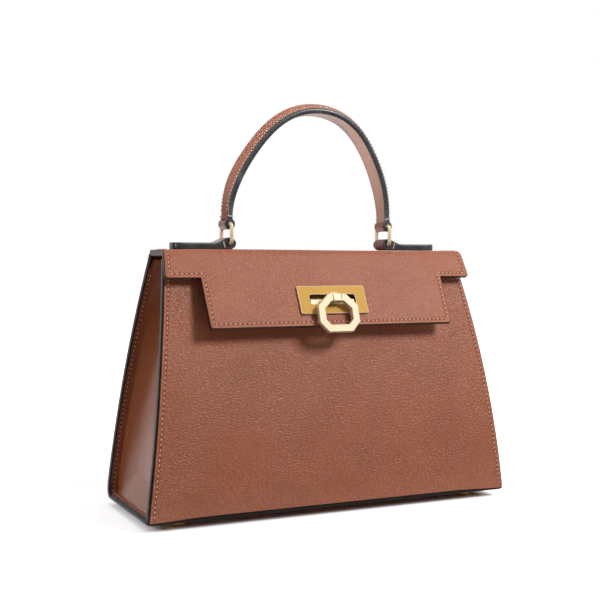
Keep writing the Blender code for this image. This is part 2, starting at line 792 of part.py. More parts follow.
def build_clasp_ring(clasp):
    outer = ring_outline()
    inner = [tuple(point) for point in offset_line(outer, RING_FACE, closed=True)]
    mesh = outline_mesh("clasp_ring", [outer, inner], RING_DEPTH, METAL_BEVEL)
    frame = lean_matrix(ring_lean(), slope_place(PIN_DOWN, PIN_STAND))
    ring = add_piece("clasp_ring", mesh, POLISHED, clasp, frame)
    half = KNUCKLE_WIDTH / 2 + GAP
    gap = box_mesh("ring_gap", (-half, -RING_FACE, -RING_DEPTH), (half, RING_FACE, RING_DEPTH))
    bore = rod_mesh(
        "ring_bore", PIN_RADIUS + BORE_CLEARANCE,
        -PIN_HALF_LENGTH - BORE_CLEARANCE, PIN_HALF_LENGTH + BORE_CLEARANCE,
    )
    cut(
        ring,
        add_cutter("ring_gap", gap, frame),
        add_cutter("ring_bore", bore, across_frame(frame)),
    )
    pin = rod_mesh("clasp_pin", PIN_RADIUS, -PIN_HALF_LENGTH, PIN_HALF_LENGTH)
    add_piece("clasp_pin", pin, POLISHED, clasp, across_frame(frame))


def build_lock(front_layers):
    """Lock block on the front panel, its bar behind the slot, and the screws that hold it."""
    stand = -(LEATHER + LINING + GAP + LOCK_STANDOFF)
    half = LOCK_WIDTH / 2
    corners = []
    for x in (-half, half):
        fronts = [slope_place(down, stand, x) for down in (LOCK_LOW, LOCK_TOP)]
        backs = [
            Vector((x, -half_depth(front.z) - GAP - BORE_CLEARANCE / 2, front.z))
            for front in fronts
        ]
        corners.append((fronts, backs))
    block = add_piece("lock_housing", hexa_mesh("lock_housing", corners), GOLD)
    bar_low = SLOT_DOWN + SLOT_HEIGHT / 2 - GAP
    bar_top = SLOT_DOWN - SLOT_HEIGHT / 2 + 5 * GAP + KNUCKLE_NECK
    middle = (bar_low + bar_top) / 2
    bar_half = (bar_low - bar_top) / 2
    bar = box_mesh(
        "lock_bar",
        (-LOCK_BAR_WIDTH / 2, -bar_half, stand + GAP),
        (LOCK_BAR_WIDTH / 2, bar_half, GAP + PLATE - LOCK_BAR_RECESS),
    )
    add_piece("lock_bar", bar, POLISHED, at=slope_frame(middle))
    frame = wall_frame(slope_place((LOCK_TOP + LOCK_LOW) / 2, stand).z)
    inner = -(LEATHER + BOARD + LINING + 3 * GAP)
    seat = inner - BACKING - GAP
    backing_mesh = box_mesh(
        "lock_backing",
        (-BACKING_WIDTH / 2, -BACKING_HEIGHT / 2, inner - BACKING),
        (BACKING_WIDTH / 2, BACKING_HEIGHT / 2, inner),
    )
    backing = add_piece("lock_backing", backing_mesh, STEEL, at=frame)
    profile = [
        (0, LOCK_SCREW_BITE), (LOCK_SCREW_SHANK, LOCK_SCREW_BITE), (LOCK_SCREW_SHANK, seat),
        (LOCK_SCREW_HEAD_RADIUS, seat), (LOCK_SCREW_HEAD_RADIUS, seat - LOCK_SCREW_HEAD),
        (0, seat - LOCK_SCREW_HEAD),
    ]
    drill = rod_mesh(
        "lock_screw_bore", LOCK_SCREW_SHANK + BORE_CLEARANCE,
        seat, LOCK_SCREW_BITE + BORE_CLEARANCE,
    )
    for word, x in (("left", -LOCK_SCREW_X), ("right", LOCK_SCREW_X)):
        at = frame @ Matrix.Translation((x, 0, 0))
        turned("lock_screw_" + word, profile, STEEL, at=at)
        cutter = add_cutter("lock_screw_bore_" + word, drill, at)
        for piece in (block, backing, *front_layers):
            cut(piece, cutter)


def side_frame(side, z):
    """Frame for a profile drawn in (outwards, up): its Z runs along Y; side -1 left, +1 right."""
    out, up = Vector((side, 0, 0)), Vector((0, 0, 1))
    frame = Matrix((out, up, out.cross(up))).transposed().to_4x4()
    frame.translation = Vector((side * RING_X, 0, z))
    return frame


def build_tab(word, side, hinge):
    """Leather strip folded round the ring's lower bar and sewn down on the flap's top."""
    low = -TAB_LOOP_RADIUS
    loop = arc((0, 0), TAB_LOOP_RADIUS, 270, 90, 2 * ARC_STEPS)
    top = low + TAB_THICKNESS
    outline = [(TAB_LENGTH, low), *loop, (TAB_RAMP, top), (TAB_LENGTH, top)]
    bore = arc((0, 0), WIRE_RADIUS + WIRE_CLEARANCE, 0, 360, ROUND_STEPS)[:-1]
    mesh = outline_mesh("tab_" + word, [outline, bore], TAB_WIDTH)
    work = bmesh.new()
    work.from_mesh(mesh)
    ends = [
        edge for edge in work.edges
        if all(abs(vert.co.x - TAB_LENGTH) < WELD for vert in edge.verts)
        and abs(edge.verts[0].co.z - edge.verts[1].co.z) < WELD
    ]
    bmesh.ops.bevel(work, geom=ends, offset=TAB_END_RADIUS, segments=ARC_STEPS, affect="EDGES")
    work.to_mesh(mesh)
    work.free()
    add_piece("tab_" + word, mesh, TAN, hinge, side_frame(side, TAB_AXIS_Z))


def build_wire_ring(word, side, carrier):
    """Bent wire ring that joins a tab to a handle loop."""
    path = rounded_rectangle(WIRE_RING_WIDTH, WIRE_RING_RISE, WIRE_BEND)
    middle = TAB_AXIS_Z + WIRE_RING_RISE / 2
    curve = bpy.data.curves.new("ring_" + word, "CURVE")
    curve.dimensions = "3D"
    curve.bevel_depth = WIRE_RADIUS
    curve.bevel_resolution = 2
    spline = curve.splines.new("POLY")
    spline.points.add(len(path) - 1)
    for point, (across, up) in zip(spline.points, path):
        point.co = (side * RING_X, across, middle + up, 1)
    spline.use_cyclic_u = True
    add_piece("ring_" + word, curve_mesh("ring_" + word, curve), POLISHED, carrier)


def handle_frame(angle):
    """Place and outward direction on the handle's arch; angle 0 is the right-hand end."""
    sine, cosine = abs(math.sin(angle)), math.cos(angle)
    reach = RING_X - HANDLE_PINCH * (sine * cosine) ** 2
    x = reach * cosine + 2 * HANDLE_SWAY * sine ** 2 / (1 + sine ** 2)
    place = Vector((x, 0, HANDLE_END_Z + HANDLE_RISE * sine))
    narrowing = 2 * HANDLE_PINCH * sine * cosine ** 2 * (cosine ** 2 - sine ** 2)
    sway = 4 * HANDLE_SWAY * sine * cosine / (1 + sine ** 2) ** 2
    out = Vector((HANDLE_RISE * cosine, 0, sine * reach + narrowing - sway)).normalized()
    return place, out


def end_share(angle):
    """0 at either end of the handle and 1 past its tapered length."""
    share = min(angle, math.pi - angle) / math.pi / TAPER_SHARE
    share = min(max(share, 0.0), 1.0)
    return share * share * (3.0 - 2.0 * share)


def handle_size(angle):
    """Width across and crown height at a place along the handle."""
    share = end_share(angle)
    width = HANDLE_END_WIDTH + (HANDLE_WIDTH - HANDLE_END_WIDTH) * share
    crown = HANDLE_END_CROWN + (HANDLE_CROWN - HANDLE_END_CROWN) * share
    return width, crown


def dome(half, low, high, fullness=1.0):
    """Arched line from one side of a section to the other; a fullness below 1 is squarer."""
    angles = np.linspace(0, math.pi, DOME_STEPS + 1)
    rises = np.clip(np.sin(angles), 0, 1) ** fullness
    return [(half * math.cos(a), low + (high - low) * rise) for a, rise in zip(angles, rises)]


def cover_section(angle):
    """Domed leather with the hollow for its core, as (across, outwards) points."""
    width, crown = handle_size(angle)
    seam = GAP - HANDLE_EDGE / 2 + HANDLE_STRIP
    half = width / 2
    hollow = dome(half - HANDLE_SEAM, seam, crown - HANDLE_LEATHER, HOLLOW_FULLNESS)
    return [(half, seam), *dome(half, HANDLE_SHOULDER, crown), (-half, seam), *hollow[::-1]]


def core_section(angle):
    width, crown = handle_size(angle)
    low = 2 * GAP - HANDLE_EDGE / 2 + HANDLE_STRIP
    half = width / 2 - HANDLE_SEAM - 2 * GAP
    return dome(half, low, crown - HANDLE_LEATHER - GAP, HOLLOW_FULLNESS)


def strip_section(angle):
    half = handle_size(angle)[0] / 2
    low = -HANDLE_EDGE / 2
    return [(half, low), (half, low + HANDLE_STRIP), (-half, low + HANDLE_STRIP), (-half, low)]


def handle_piece(name, section, finish, carrier, start=0.0):
    """Carry a section along the handle from one end to the other."""
    sections = []
    for angle in np.linspace(start, math.pi - start, HANDLE_STEPS + 1):
        place, out = handle_frame(angle)
        sections.append([
            place + out * outwards + Vector((0, across, 0)) for across, outwards in section(angle)
        ])
    return add_piece(name, sweep_mesh(name, sections), finish, carrier)


def build_handle(carrier):
    core_start = math.asin((TONGUE_RISE + 2 * GAP) / HANDLE_RISE)
    handle_piece("handle_cover", cover_section, TAN, carrier)
    handle_piece("handle_core", core_section, CARD, carrier, core_start)
    handle_piece("handle_strip", strip_section, TAN, carrier)
    for word, side in (("left", -1), ("right", 1)):
        build_handle_loop(word, side, carrier)


def build_handle_loop(word, side, carrier):
    """Leather loop round the ring's upper bar, whose tongue runs up inside the handle's end."""
    neck = LOOP_NECK / 2
    turn = math.degrees(math.asin(neck / LOOP_RADIUS))
    top = HANDLE_END_Z - GAP - LOOP_AXIS_Z
    loop = arc((0, 0), LOOP_RADIUS, 90 + turn, 450 - turn, 4 * ARC_STEPS)
    outline = [(neck, top), (-neck, top), *loop]
    bore = arc((0, 0), WIRE_RADIUS + WIRE_CLEARANCE, 0, 360, ROUND_STEPS)[:-1]
    mesh = outline_mesh("handle_loop_" + word, [outline, bore], LOOP_WIDTH)
    frame = side_frame(side, LOOP_AXIS_Z)
    piece = add_piece("handle_loop_" + word, mesh, TAN, carrier, frame)
    low = 2 * GAP - HANDLE_EDGE / 2 + HANDLE_STRIP
    half = TONGUE_WIDTH / 2
    tongue = box_mesh(
        "loop_tongue", (low, top - LEATHER, -half), (low + TONGUE_LEATHER, top + TONGUE_RISE, half)
    )
    cut(piece, add_cutter("loop_tongue_" + word, tongue, frame), operation="UNION")


clear_scene()
PARTS = new_collection("leather_handbag")
CUTTERS = new_collection("handbag_cutters")
TAN = material("tan_leather", (0.36, 0.150, 0.085), 0.50)
SUEDE = material("lining_leather", (0.42, 0.24, 0.14), 0.80)
CARD = material("bag_board", (0.45, 0.38, 0.28), 0.90)
GOLD = material("satin_gold", (0.80, 0.56, 0.20), 0.32, 1.0)
POLISHED = material("polished_gold", (0.93, 0.76, 0.42), 0.14, 1.0)
STEEL = material("plated_steel", (0.62, 0.60, 0.56), 0.35, 1.0)


def main():
    hinge = pivot("flap_hinge", Vector((0, HINGE_Y, HINGE_Z)))
    clasp = pivot("clasp_hinge", slope_place(PIN_DOWN, PIN_STAND), hinge)
    rings = {
        word: pivot("ring_pivot_" + word, Vector((side * RING_X, 0, TAB_AXIS_Z)), hinge)
        for word, side in (("left", -1), ("right", 1))
    }
    grip = pivot("handle_pivot", Vector((-RING_X, 0, LOOP_AXIS_Z)), rings["left"])
    layers = build_panels()
    build_pocket()
    build_gussets()
    build_base()
    build_lock(layers["front"])
    leather, lining = build_flap(hinge)
    build_clasp(hinge, clasp, leather, lining)
    for word, side in (("left", -1), ("right", 1)):
        build_tab(word, side, hinge)
        build_wire_ring(word, side, rings[word])
    build_handle(grip)


main()
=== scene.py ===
"""Looks of the leather handbag, laid out as a Blender add-on and run as a script.

Units are metres. X runs along the front, the front faces -Y and +Z is up. Every new piece is a
surface worked out as whole arrays from the bag's own sizes, and all but the leather of the back
and flap ride on one of its bodies.
"""

import math

import bpy
import numpy as np
from bpy.props import FloatProperty, FloatVectorProperty, PointerProperty
from mathutils import Matrix


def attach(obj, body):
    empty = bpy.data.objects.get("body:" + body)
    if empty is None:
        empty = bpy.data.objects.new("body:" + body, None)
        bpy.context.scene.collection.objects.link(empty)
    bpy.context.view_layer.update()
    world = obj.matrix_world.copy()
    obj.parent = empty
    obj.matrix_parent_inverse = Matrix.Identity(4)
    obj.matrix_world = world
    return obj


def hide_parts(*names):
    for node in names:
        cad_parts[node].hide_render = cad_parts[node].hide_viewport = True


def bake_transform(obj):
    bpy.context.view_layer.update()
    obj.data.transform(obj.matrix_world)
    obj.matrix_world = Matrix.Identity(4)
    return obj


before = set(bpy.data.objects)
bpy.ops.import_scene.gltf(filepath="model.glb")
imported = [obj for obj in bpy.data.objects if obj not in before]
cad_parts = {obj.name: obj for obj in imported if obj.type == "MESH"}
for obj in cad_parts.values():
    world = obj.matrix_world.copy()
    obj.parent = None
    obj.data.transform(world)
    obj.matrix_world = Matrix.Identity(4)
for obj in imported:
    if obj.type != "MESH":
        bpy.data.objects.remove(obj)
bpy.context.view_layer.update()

bl_info = {
    "name": "Leather handbag",
    "version": (1, 0, 0),
    "blender": (4, 5, 0),
    "location": "3D View > Sidebar > Handbag",
    "description": "Leather, edge paint, stitches, fittings and stage of a top-handle bag",
    "category": "Add Mesh",
}

SIDES = ((-1, "left"), (1, "right"))
ACROSS, UPWARDS = (0.0, 1.0, 0.0), (0.0, 0.0, 1.0)

# Angles in degrees past which an edge is shaded as sharp.
SHARP, METAL_SHARP, STITCH_SHARP = 40, 12, 80

# Outside of the body at the base, halfway up and at the top of the closed flap.
BASE_WIDTH, MID_WIDTH, TOP_WIDTH = 0.2800, 0.2578, 0.2334
BASE_DEPTH, MID_DEPTH, TOP_DEPTH = 0.1044, 0.0870, 0.0316
BODY_TOP, BASE_Z = 0.1870, 0.0055

# Layers of the walls, from the outside in.
LEATHER, LINING, WALL = 0.0018, 0.0010, 0.0067
FRONT_RIM, GUSSET_RIM = 0.1810, 0.1800
PANEL_FOOT, CORNER_DROOP, DROOP_REACH = 0.0083, 0.0013, 0.0420
BASE_EDGE_TOP, BASE_CORNER, REAR_CORNER = 0.0084, 0.0026, 0.0100
FLANGE_DEPTH, FLANGE_GAP, FLANGE_CORNER = 0.0049, 0.0003, 0.0060
DISH_BASE, DISH_TOP, DISH_RISE = 0.0030, 0.0120, 0.0240

# How far a leather stops short of its nominal edge, which leaves room for the painted lip.
PANEL_SETBACK, FLAP_SETBACK, STRAP_SETBACK, RIM_SETBACK = 0.0005, 0.0004, 0.0003, 0.0004

# Painted edges: powers (lower is squarer), lips, and how the side bands and the base edge lie.
EDGE_POWER, GRIP_EDGE_POWER, THIN_LIP = 0.55, 0.75, 0.0002
STRAP_EDGE, STRAP_LIP, GRIP_EDGE = 0.0007, 0.0003, 0.0011
BAND_RISE, REAR_BAND_RISE, BAND_ROOT = 0.0008, 0.0020, 0.0010
BASE_EDGE_POWER, BASE_EDGE_DEPTH, BASE_EDGE_CORNER = 0.5, 0.0030, 0.0022
BASE_EDGE_SIDE, BASE_EDGE_FRONT, BASE_EDGE_SHIFT = 0.0004, 0.0035, 0.0024
# The front rim's edge: its profile is (share of its depth, height over the rim).
RIM_CAP_START, RIM_CAP_DEPTH, RIM_CAP_INSET = 0.0008, 0.0038, 0.0016
RIM_CAP = (
    (0.0, -0.0040), (0.0, -0.0016), (0.04, -0.0006), (0.16, 0.0), (0.84, 0.0), (0.96, -0.0006),
    (1.0, -0.0016), (1.0, -0.0040),
)

# Flap.
FOLD_RADIUS, BEND_RADIUS = 0.0035, 0.0080
FLAP_REACH, FLAP_LEAN = 0.02276, math.radians(26.5)
FLAP_LENGTH, EAR_LENGTH = 0.0593, 0.0214
HINGE_HALF, EAR_HALF = 0.2345 / 2, 0.2424 / 2
TONGUE_HALF, TONGUE_LOW_HALF = 0.1924 / 2, 0.1900 / 2
TOP_THICK, FRONT_THICK = 0.0044, 0.0031
WINDOW_HALF, WINDOW_TOP, WINDOW_LOW = 0.0210, 0.0325, 0.0468
EAR_CORNER, TONGUE_CORNER, FLARE = 0.0014, 0.0012, 0.006
NOTCH_REACH, SAME = 0.0055, 1e-6
WINDOW_COLUMNS, TONGUE_COLUMNS, EAR_COLUMNS = 8, 30, 10
WALL_ROWS, FOLD_ROWS, BEND_ROWS = 72, 9, 12
BLEND_REAR, BLEND_FRONT = 0.0175, 0.0105

# Gussets: (way in along the flange, way in from the side) of the rings before the dish.
FLANGE_STEPS = (
    (0.0, 0.0005), (0.0, 0.0017), (0.0, 0.0030), (0.0001, 0.0038), (0.0005, 0.0044),
    (0.0011, 0.0047), (0.0020, 0.0049),
)
INNER_FLANGE_STEPS = (
    (0.0, 0.0005), (0.0, 0.0020), (0.0, 0.0044), (0.0002, 0.0054), (0.0007, 0.0061),
    (0.0014, 0.0064), (0.0022, 0.0065),
)
GUSSET_WAVE, GUSSET_LINING_GAP, FLANGE_SEAM = 0.0005, 0.0007, 0.0026

# Clasp: places run down the leaning front and stand out from it.
PLATE_WIDTH, PLATE_HEIGHT, PLATE_DOWN, PLATE = 0.0534, 0.0217, 0.04025, 0.0015
PLATE_CORNER, PLATE_GAP = 0.0012, 0.0003
SLOT_WIDTH, SLOT_HEIGHT, SLOT_DOWN, SLOT_CORNER = 0.0365, 0.0085, 0.03925, 0.0020
SLOT_DROP = 0.0012
PIN_DOWN, PIN_STAND = 0.0416, 0.0066
KNUCKLE_SIZE = (0.0066, 0.0061, 0.0048)
RING_FACE, RING_DEPTH, RING_HEIGHT, RING_WIDTH = 0.0053, 0.0040, 0.0274, 0.0315
RING_TOP_EDGE, RING_LOW_EDGE, RING_TOP_CORNER, RING_LOW_CORNER = 0.0140, 0.0188, 0.0084, 0.0070
RING_LEAN = math.radians(16.4)
RING_GAP = 0.0036
METAL_BEVEL = 0.0005
KNUCKLE_NECK_SIZE = (KNUCKLE_SIZE[0], 0.0032, 0.0062)
NECK_DOWN, NECK_STAND = SLOT_DOWN - 0.0014, 0.0020

# Handle and its fittings.
RING_X = 0.0645
TAB_AXIS_Z, LOOP_AXIS_Z, HANDLE_END_Z = 0.1916, 0.2055, 0.2105
TAB_LENGTH, TAB_HALF, TAB_THICK, TAB_NOSE, TAB_RAMP, TAB_ROUND = (
    0.0420, 0.0080, 0.0048, 0.0043, 0.0120, 0.0050,
)
WIRE_RADIUS, WIRE_BEND, WIRE_WIDTH, WIRE_RISE = 0.00135, 0.0024, 0.0200, 0.0139
LOOP_RADIUS, LOOP_HALF, LOOP_NECK = 0.0040, 0.00725, 0.0021
LOOP_NECK_RISE = (0.0036, 0.0056)
HANDLE_RISE, HANDLE_SWAY, HANDLE_HALF, HANDLE_END_HALF = 0.0795, 0.0066, 0.0090, 0.0075
HANDLE_EDGE, HANDLE_CROWN, HANDLE_END_CROWN, TAPER_SHARE = 0.0022, 0.0058, 0.0036, 0.12
HANDLE_PINCH, HANDLE_OVERHANG = 0.0160, 0.0016
HANDLE_EAVES = HANDLE_EDGE - 0.0004
HANDLE_SEAM_INSET, HANDLE_SEAM_ENDS = 0.0015, 0.05
STRAP_FINISHES = ("smooth leather", "handle edge paint with painted reflection", "smooth leather")

# Base leather and feet.
BASE_SIDE_INSET, BASE_FRONT_INSET, BASE_SHIFT = 0.0016, 0.0052, 0.0027
FOOT_X, FOOT_Y = 0.1150, 0.0340
FOOT_PROFILE = (
    (0.0000, 0.0000), (0.0030, 0.0000), (0.0041, 0.0003), (0.0052, 0.0011), (0.0059, 0.0024),
    (0.0060, 0.0036), (0.0058, 0.0046), (0.0052, 0.0052), (0.0000, 0.0052),
)

# Sewing: a stitch's half length in pitches, half width and half height in thread widths.
STITCH_SHARES, HOLE_SHARES, HOLE_HALF_DEPTH = (0.28, 0.52, 0.5), (0.15, 0.62), 0.0001
STITCH_TILT, STITCH_LIFT, HOLE_LIFT, STITCH_DIP = 0.12, 0.00015, 0.00005, 0.35
GRIP_PITCH, GRIP_SHARES, STRIP_SHARES, GRIP_TILT, GRIP_LIFT = (
    0.8, (0.8, 0.8, 0.8), (0.7, 0.6, 0.6), 0.1, 0.0001,
)
SEAM_TOP_GAP, SEAM_FOOT_GAP = 0.004, 0.0010

# Long wrapping stitches: their place from the ring's axis and the end, and how they lean.
WRAP_SIZE, TAB_WRAP_SHARES = (0.0026, 0.00045, 0.00040), (1.05, 1, 1)
END_WRAP, END_WRAP_LEAN = (RING_X + 0.0001, 0.0076, HANDLE_END_Z + 0.0006), 0.12
TAB_WRAP, TAB_WRAP_LEAN = (RING_X + 0.0050, 0.0080, TAB_AXIS_Z - 0.0008), 0.25

# Camera of the photograph.
CAMERA_PLACE = (-0.3501, -0.7320, 0.1775)
CAMERA_YAW, CAMERA_PITCH = math.radians(25.17), math.radians(1.94)
CAMERA_LENS, CAMERA_SENSOR = 65.27, 36.0

# Lamps: name, place, aim, size, power in watts, spread in degrees, and whether gloss sees it.
KEY_PLACE, BAG_MIDDLE, KEY_SIZE = (0.74, -1.10, 1.08), (0.0, 0.0, 0.1), (0.45, 0.45)
LAMPS = (
    ("key_softbox", KEY_PLACE, BAG_MIDDLE, KEY_SIZE, 17.5, 180, True),
    ("key_diffuser", KEY_PLACE, BAG_MIDDLE, KEY_SIZE, 8.0, 180, False),
    ("overhead_softbox", (-0.12, 0.08, 1.4), BAG_MIDDLE, (0.9, 0.9), 7.5, 180, False),
    ("low_reflector", (-0.62, 0.42, 0.03), (-0.135, 0.0, -0.01), (0.3, 0.05), 0.06, 20, False),
    ("handle_kicker", (-1.3, -0.30, 0.36), (0.0, 0.0, 0.275), (0.12, 0.12), 0.045, 9, True),
)

# Dark cards that only gloss sees: name and corners.
CARD_TONE = 0.03
CARDS = (
    ("left_flag", (
        (-2.4, -1.0, 0.0), (-2.0, 3.2, 0.0), (-2.0, 3.2, 0.75), (-2.4, -1.0, 0.75),
    )),
    ("front_flag", (
        (-2.4, -2.6, 0.0), (3.0, -2.2, 0.0), (3.0, -2.2, 1.5), (-2.4, -2.6, 1.5),
    )),
    ("left_floor_flag", (
        (-0.19, 0.13, 0.002), (-2.0, 3.2, 0.002), (-2.4, -1.0, 0.002), (-0.20, -0.02, 0.002),
    )),
    ("front_floor_flag", (
        (-0.6, -0.08, 0.002), (1.6, -0.08, 0.002), (1.6, -2.2, 0.002), (-0.6, -2.4, 0.002),
    )),
)

# Floor: half extents, the bag's footprint, round which the floor's glow fades as a painted contact
# shadow, and the fill.
FLOOR_REACH, FOOTPRINT = 12.0, (0.125, 0.038, 0.0)
WORLD_FILL = 0.06


def panel_size(name, description, default, least=0.0):
    """A length that the panel shows."""
    return FloatProperty(
        name=name, description=description, default=default, min=least, unit="LENGTH",
    )


def panel_colour(name, description, default):
    """A colour that the panel shows."""
    return FloatVectorProperty(
        name=name, description=description, default=default, subtype="COLOR", min=0.0, max=1.0,
    )


class HandbagSizes(bpy.types.PropertyGroup):
    """Sizes that set how the leather work looks."""

    stitch_pitch: panel_size("Stitch pitch", "Length from one stitch to the next", 0.0034, 0.001)
    stitch_width: panel_size("Thread width", "Width of the sewing thread", 0.0008, 0.0002)
    seam_inset: panel_size(
        "Seam inset", "Distance from a cut edge to its row of stitches", 0.0027, 0.001,
    )
    edge_lip: panel_size("Edge lip", "How far the painted edges bulge past the leather", 0.0004)
    grain: panel_size("Grain size", "Width of one pebble of the leather's grain", 0.0015, 0.0004)
    sag: panel_size("Sag", "Depth of the soft waves in the leather walls", 0.0004)


class HandbagColours(bpy.types.PropertyGroup):
    """Colours of the finishes, as linear values."""

    leather: panel_colour("Leather", "Grained tan leather", (0.300, 0.084, 0.034))
    edge_paint: panel_colour("Edge paint", "Dark paint on the cut edges", (0.014, 0.0110, 0.0095))
    thread: panel_colour("Thread", "Sewing thread", (0.86, 0.47, 0.32))
    lining: panel_colour("Lining", "Soft lining leather", (0.36, 0.20, 0.12))
    satin: panel_colour("Satin gold", "Clasp plate and feet", (0.555, 0.350, 0.104))
    pale_gold: panel_colour("Pale gold", "Clasp ring, knuckle and wire rings", (0.80, 0.68, 0.50))


def unit(vectors):
    """Each vector divided by its own length."""
    length = np.linalg.norm(vectors, axis=-1, keepdims=True)
    return vectors / np.maximum(length, 1e-12)


def smooth(low, high, value):
    """Zero below low, one above high, and an S-curve between them."""
    share = np.clip((value - low) / (high - low), 0.0, 1.0)
    return share * share * (3.0 - 2.0 * share)


def three_point(base, middle, top, z):
    """The quadratic in height through a value at the base, one halfway up and one at the top."""
    share = (z - BASE_Z) / (BODY_TOP - BASE_Z)
    bend = 2.0 * (base - 2.0 * middle + top)
    return base + (top - base - bend) * share + bend * share ** 2


def half_width(z):
    """Half the body's width at a height."""
    return three_point(BASE_WIDTH, MID_WIDTH, TOP_WIDTH, z) / 2


def half_depth(z):
    """Half the body's depth at a height."""
    return three_point(BASE_DEPTH, MID_DEPTH, TOP_DEPTH, z) / 2


def back_depth(z):
    """Half depth at the back, which turns in to the base on an arc."""
    drop = np.clip(REAR_CORNER - (z - BASE_Z), 0, REAR_CORNER)
    return half_depth(z) - (REAR_CORNER - np.sqrt(REAR_CORNER ** 2 - drop ** 2))


def wall_slope(z):
    """Gain in half depth for each step down the wall."""
    step = 0.001
    return (half_depth(z - step) - half_depth(z + step)) / (2 * step)


def rays(start, end, count):
    """Unit (cosine, sine) pairs at even angles, in degrees."""
    angle = np.radians(np.linspace(start, end, count))
    return np.stack([np.cos(angle), np.sin(angle)], 1)


def superellipse(angle, power):
    """Cosine and sine with a power: below one, they bring an arch near to a square."""
    cosine = np.cos(angle)
    return np.sign(cosine) * np.abs(cosine) ** power, np.sin(angle) ** power


def joined(front, back):
    """A line to the middle of the base, and on up the mirror image of another."""
    return np.concatenate([front, back[-2::-1] * (-1, 1)])


def arc_length(line):
    """Length along a line up to each of its points."""
    steps = np.linalg.norm(np.diff(line, axis=0), axis=1)
    return np.concatenate([[0.0], np.cumsum(steps)])


def left_normals(line):
    """Unit normals on the left of a smooth two-dimensional line."""
    ahead = unit(np.gradient(np.asarray(line, float), axis=0))
    return np.stack([-ahead[:, 1], ahead[:, 0]], 1)


def offset_outline(line, distance):
    """A closed outline moved to its left by one distance, with mitred corners."""
    line = np.asarray(line, float)
    ahead = unit(np.roll(line, -1, axis=0) - line)
    left = np.stack([-ahead[:, 1], ahead[:, 0]], 1)
    before = np.roll(left, 1, axis=0)
    mitre = (left + before) / (1.0 + (left * before).sum(axis=1))[:, None]
    return line + mitre * distance


def rounded_rectangle(width, height, radius, steps=8):
    """Anticlockwise outline of a rectangle with round corners about its own centre."""
    corner = rays(0, 90, steps + 1) * radius
    turns = [corner @ np.array([[c, s], [-s, c]]) for c, s in ((1, 0), (0, 1), (-1, 0), (0, -1))]
    x, y = width / 2 - radius, height / 2 - radius
    return np.concatenate([
        turn + place for turn, place in zip(turns, ((x, y), (-x, y), (-x, -y), (x, -y)))
    ])


def slope_place(down, stand=0.0):
    """(y, z) on the flap's leaning front, from arrays of the way down and the way out."""
    sine, cosine = math.sin(FLAP_LEAN), math.cos(FLAP_LEAN)
    down, stand = np.asarray(down, float), np.asarray(stand, float)
    return np.stack([
        -FLAP_REACH - down * sine - stand * cosine, BODY_TOP - down * cosine + stand * sine,
    ], -1)


def lean_frame(lean, down, stand, x=0.0):
    """Axes and origin of a face that leans out: across, up the face, out of the face."""
    axes = np.array([
        (1, 0, 0), (0, math.sin(lean), math.cos(lean)), (0, -math.cos(lean), math.sin(lean)),
    ])
    return axes, np.array([x, *slope_place(down, stand)])


def placed(points, axes, origin):
    """Points given along three axes, put into the bag's frame."""
    return np.asarray(points) @ axes + origin


def soft_waves(across, up):
    """Slow waves of a stiffened leather wall: three crossing sines whose sum stays within one."""
    return (
        np.sin(31 * across + 17 * up) + np.sin(-19 * across + 43 * up + 1.3)
        + np.sin(11 * across - 23 * up + 4.0)
    ) / 3


def add_piece(
    name, points, faces, finishes, body, zones=None, uv=None, seam=None, sharp=SHARP,
):
    """Make one named piece from arrays of points and faces, turned outwards, on its body.

    The signed volume, a third of the sum of centre times area vector, tells which way it faces.
    """
    quads = [face for face in faces if face.shape[1] == 4]
    triangles = [face for face in faces if face.shape[1] == 3]
    volume = 0.0
    for block in faces:
        a, b, c = (points[block[:, i]] for i in range(3))
        volume += np.einsum("ij,ij->", a, np.cross(b, c))
        if block.shape[1] == 4:
            volume += np.einsum("ij,ij->", a, np.cross(c, points[block[:, 3]]))
    ordered = quads + triangles
    rows = [row for block in ordered for row in (block[:, ::-1] if volume < 0 else block).tolist()]
    mesh = bpy.data.meshes.new(name)
    mesh.from_pydata(points.tolist(), [], rows)
    for finish in finishes:
        mesh.materials.append(bpy.data.materials[finish])
    if zones is not None:
        index = np.concatenate([
            zone for block in ordered for face, zone in zip(faces, zones) if face is block
        ])
        mesh.polygons.foreach_set("material_index", index.astype(np.int32))
    if uv is not None:
        layer = mesh.uv_layers.new(name="UVMap")
        corners = np.zeros(len(mesh.loops), np.int32)
        mesh.loops.foreach_get("vertex_index", corners)
        layer.data.foreach_set("uv", uv[corners].astype(np.float32).ravel())
    if seam is not None:
        attribute = mesh.attributes.new("seam", "FLOAT", "POINT")
        attribute.data.foreach_set("value", seam.astype(np.float32))
    mesh.shade_smooth()
    mesh.set_sharp_from_angle(angle=math.radians(sharp))
    mesh.update()
    piece = bpy.data.objects.new(name, mesh)
    bpy.context.scene.collection.objects.link(piece)
    if body is not None:
        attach(piece, body)
    return piece


def grid_faces(rows, columns, keep=None, wrap=False):
    """Quads of a grid, row by row; wrap joins the last column to the first."""
    across = np.arange(columns if wrap else columns - 1)
    start = np.arange(rows - 1)[:, None] * columns
    near, far = start + across, start + (across + 1) % columns
    quads = np.stack([near, far, far + columns, near + columns], -1)
    return quads.reshape(-1, 4) if keep is None else quads[keep]


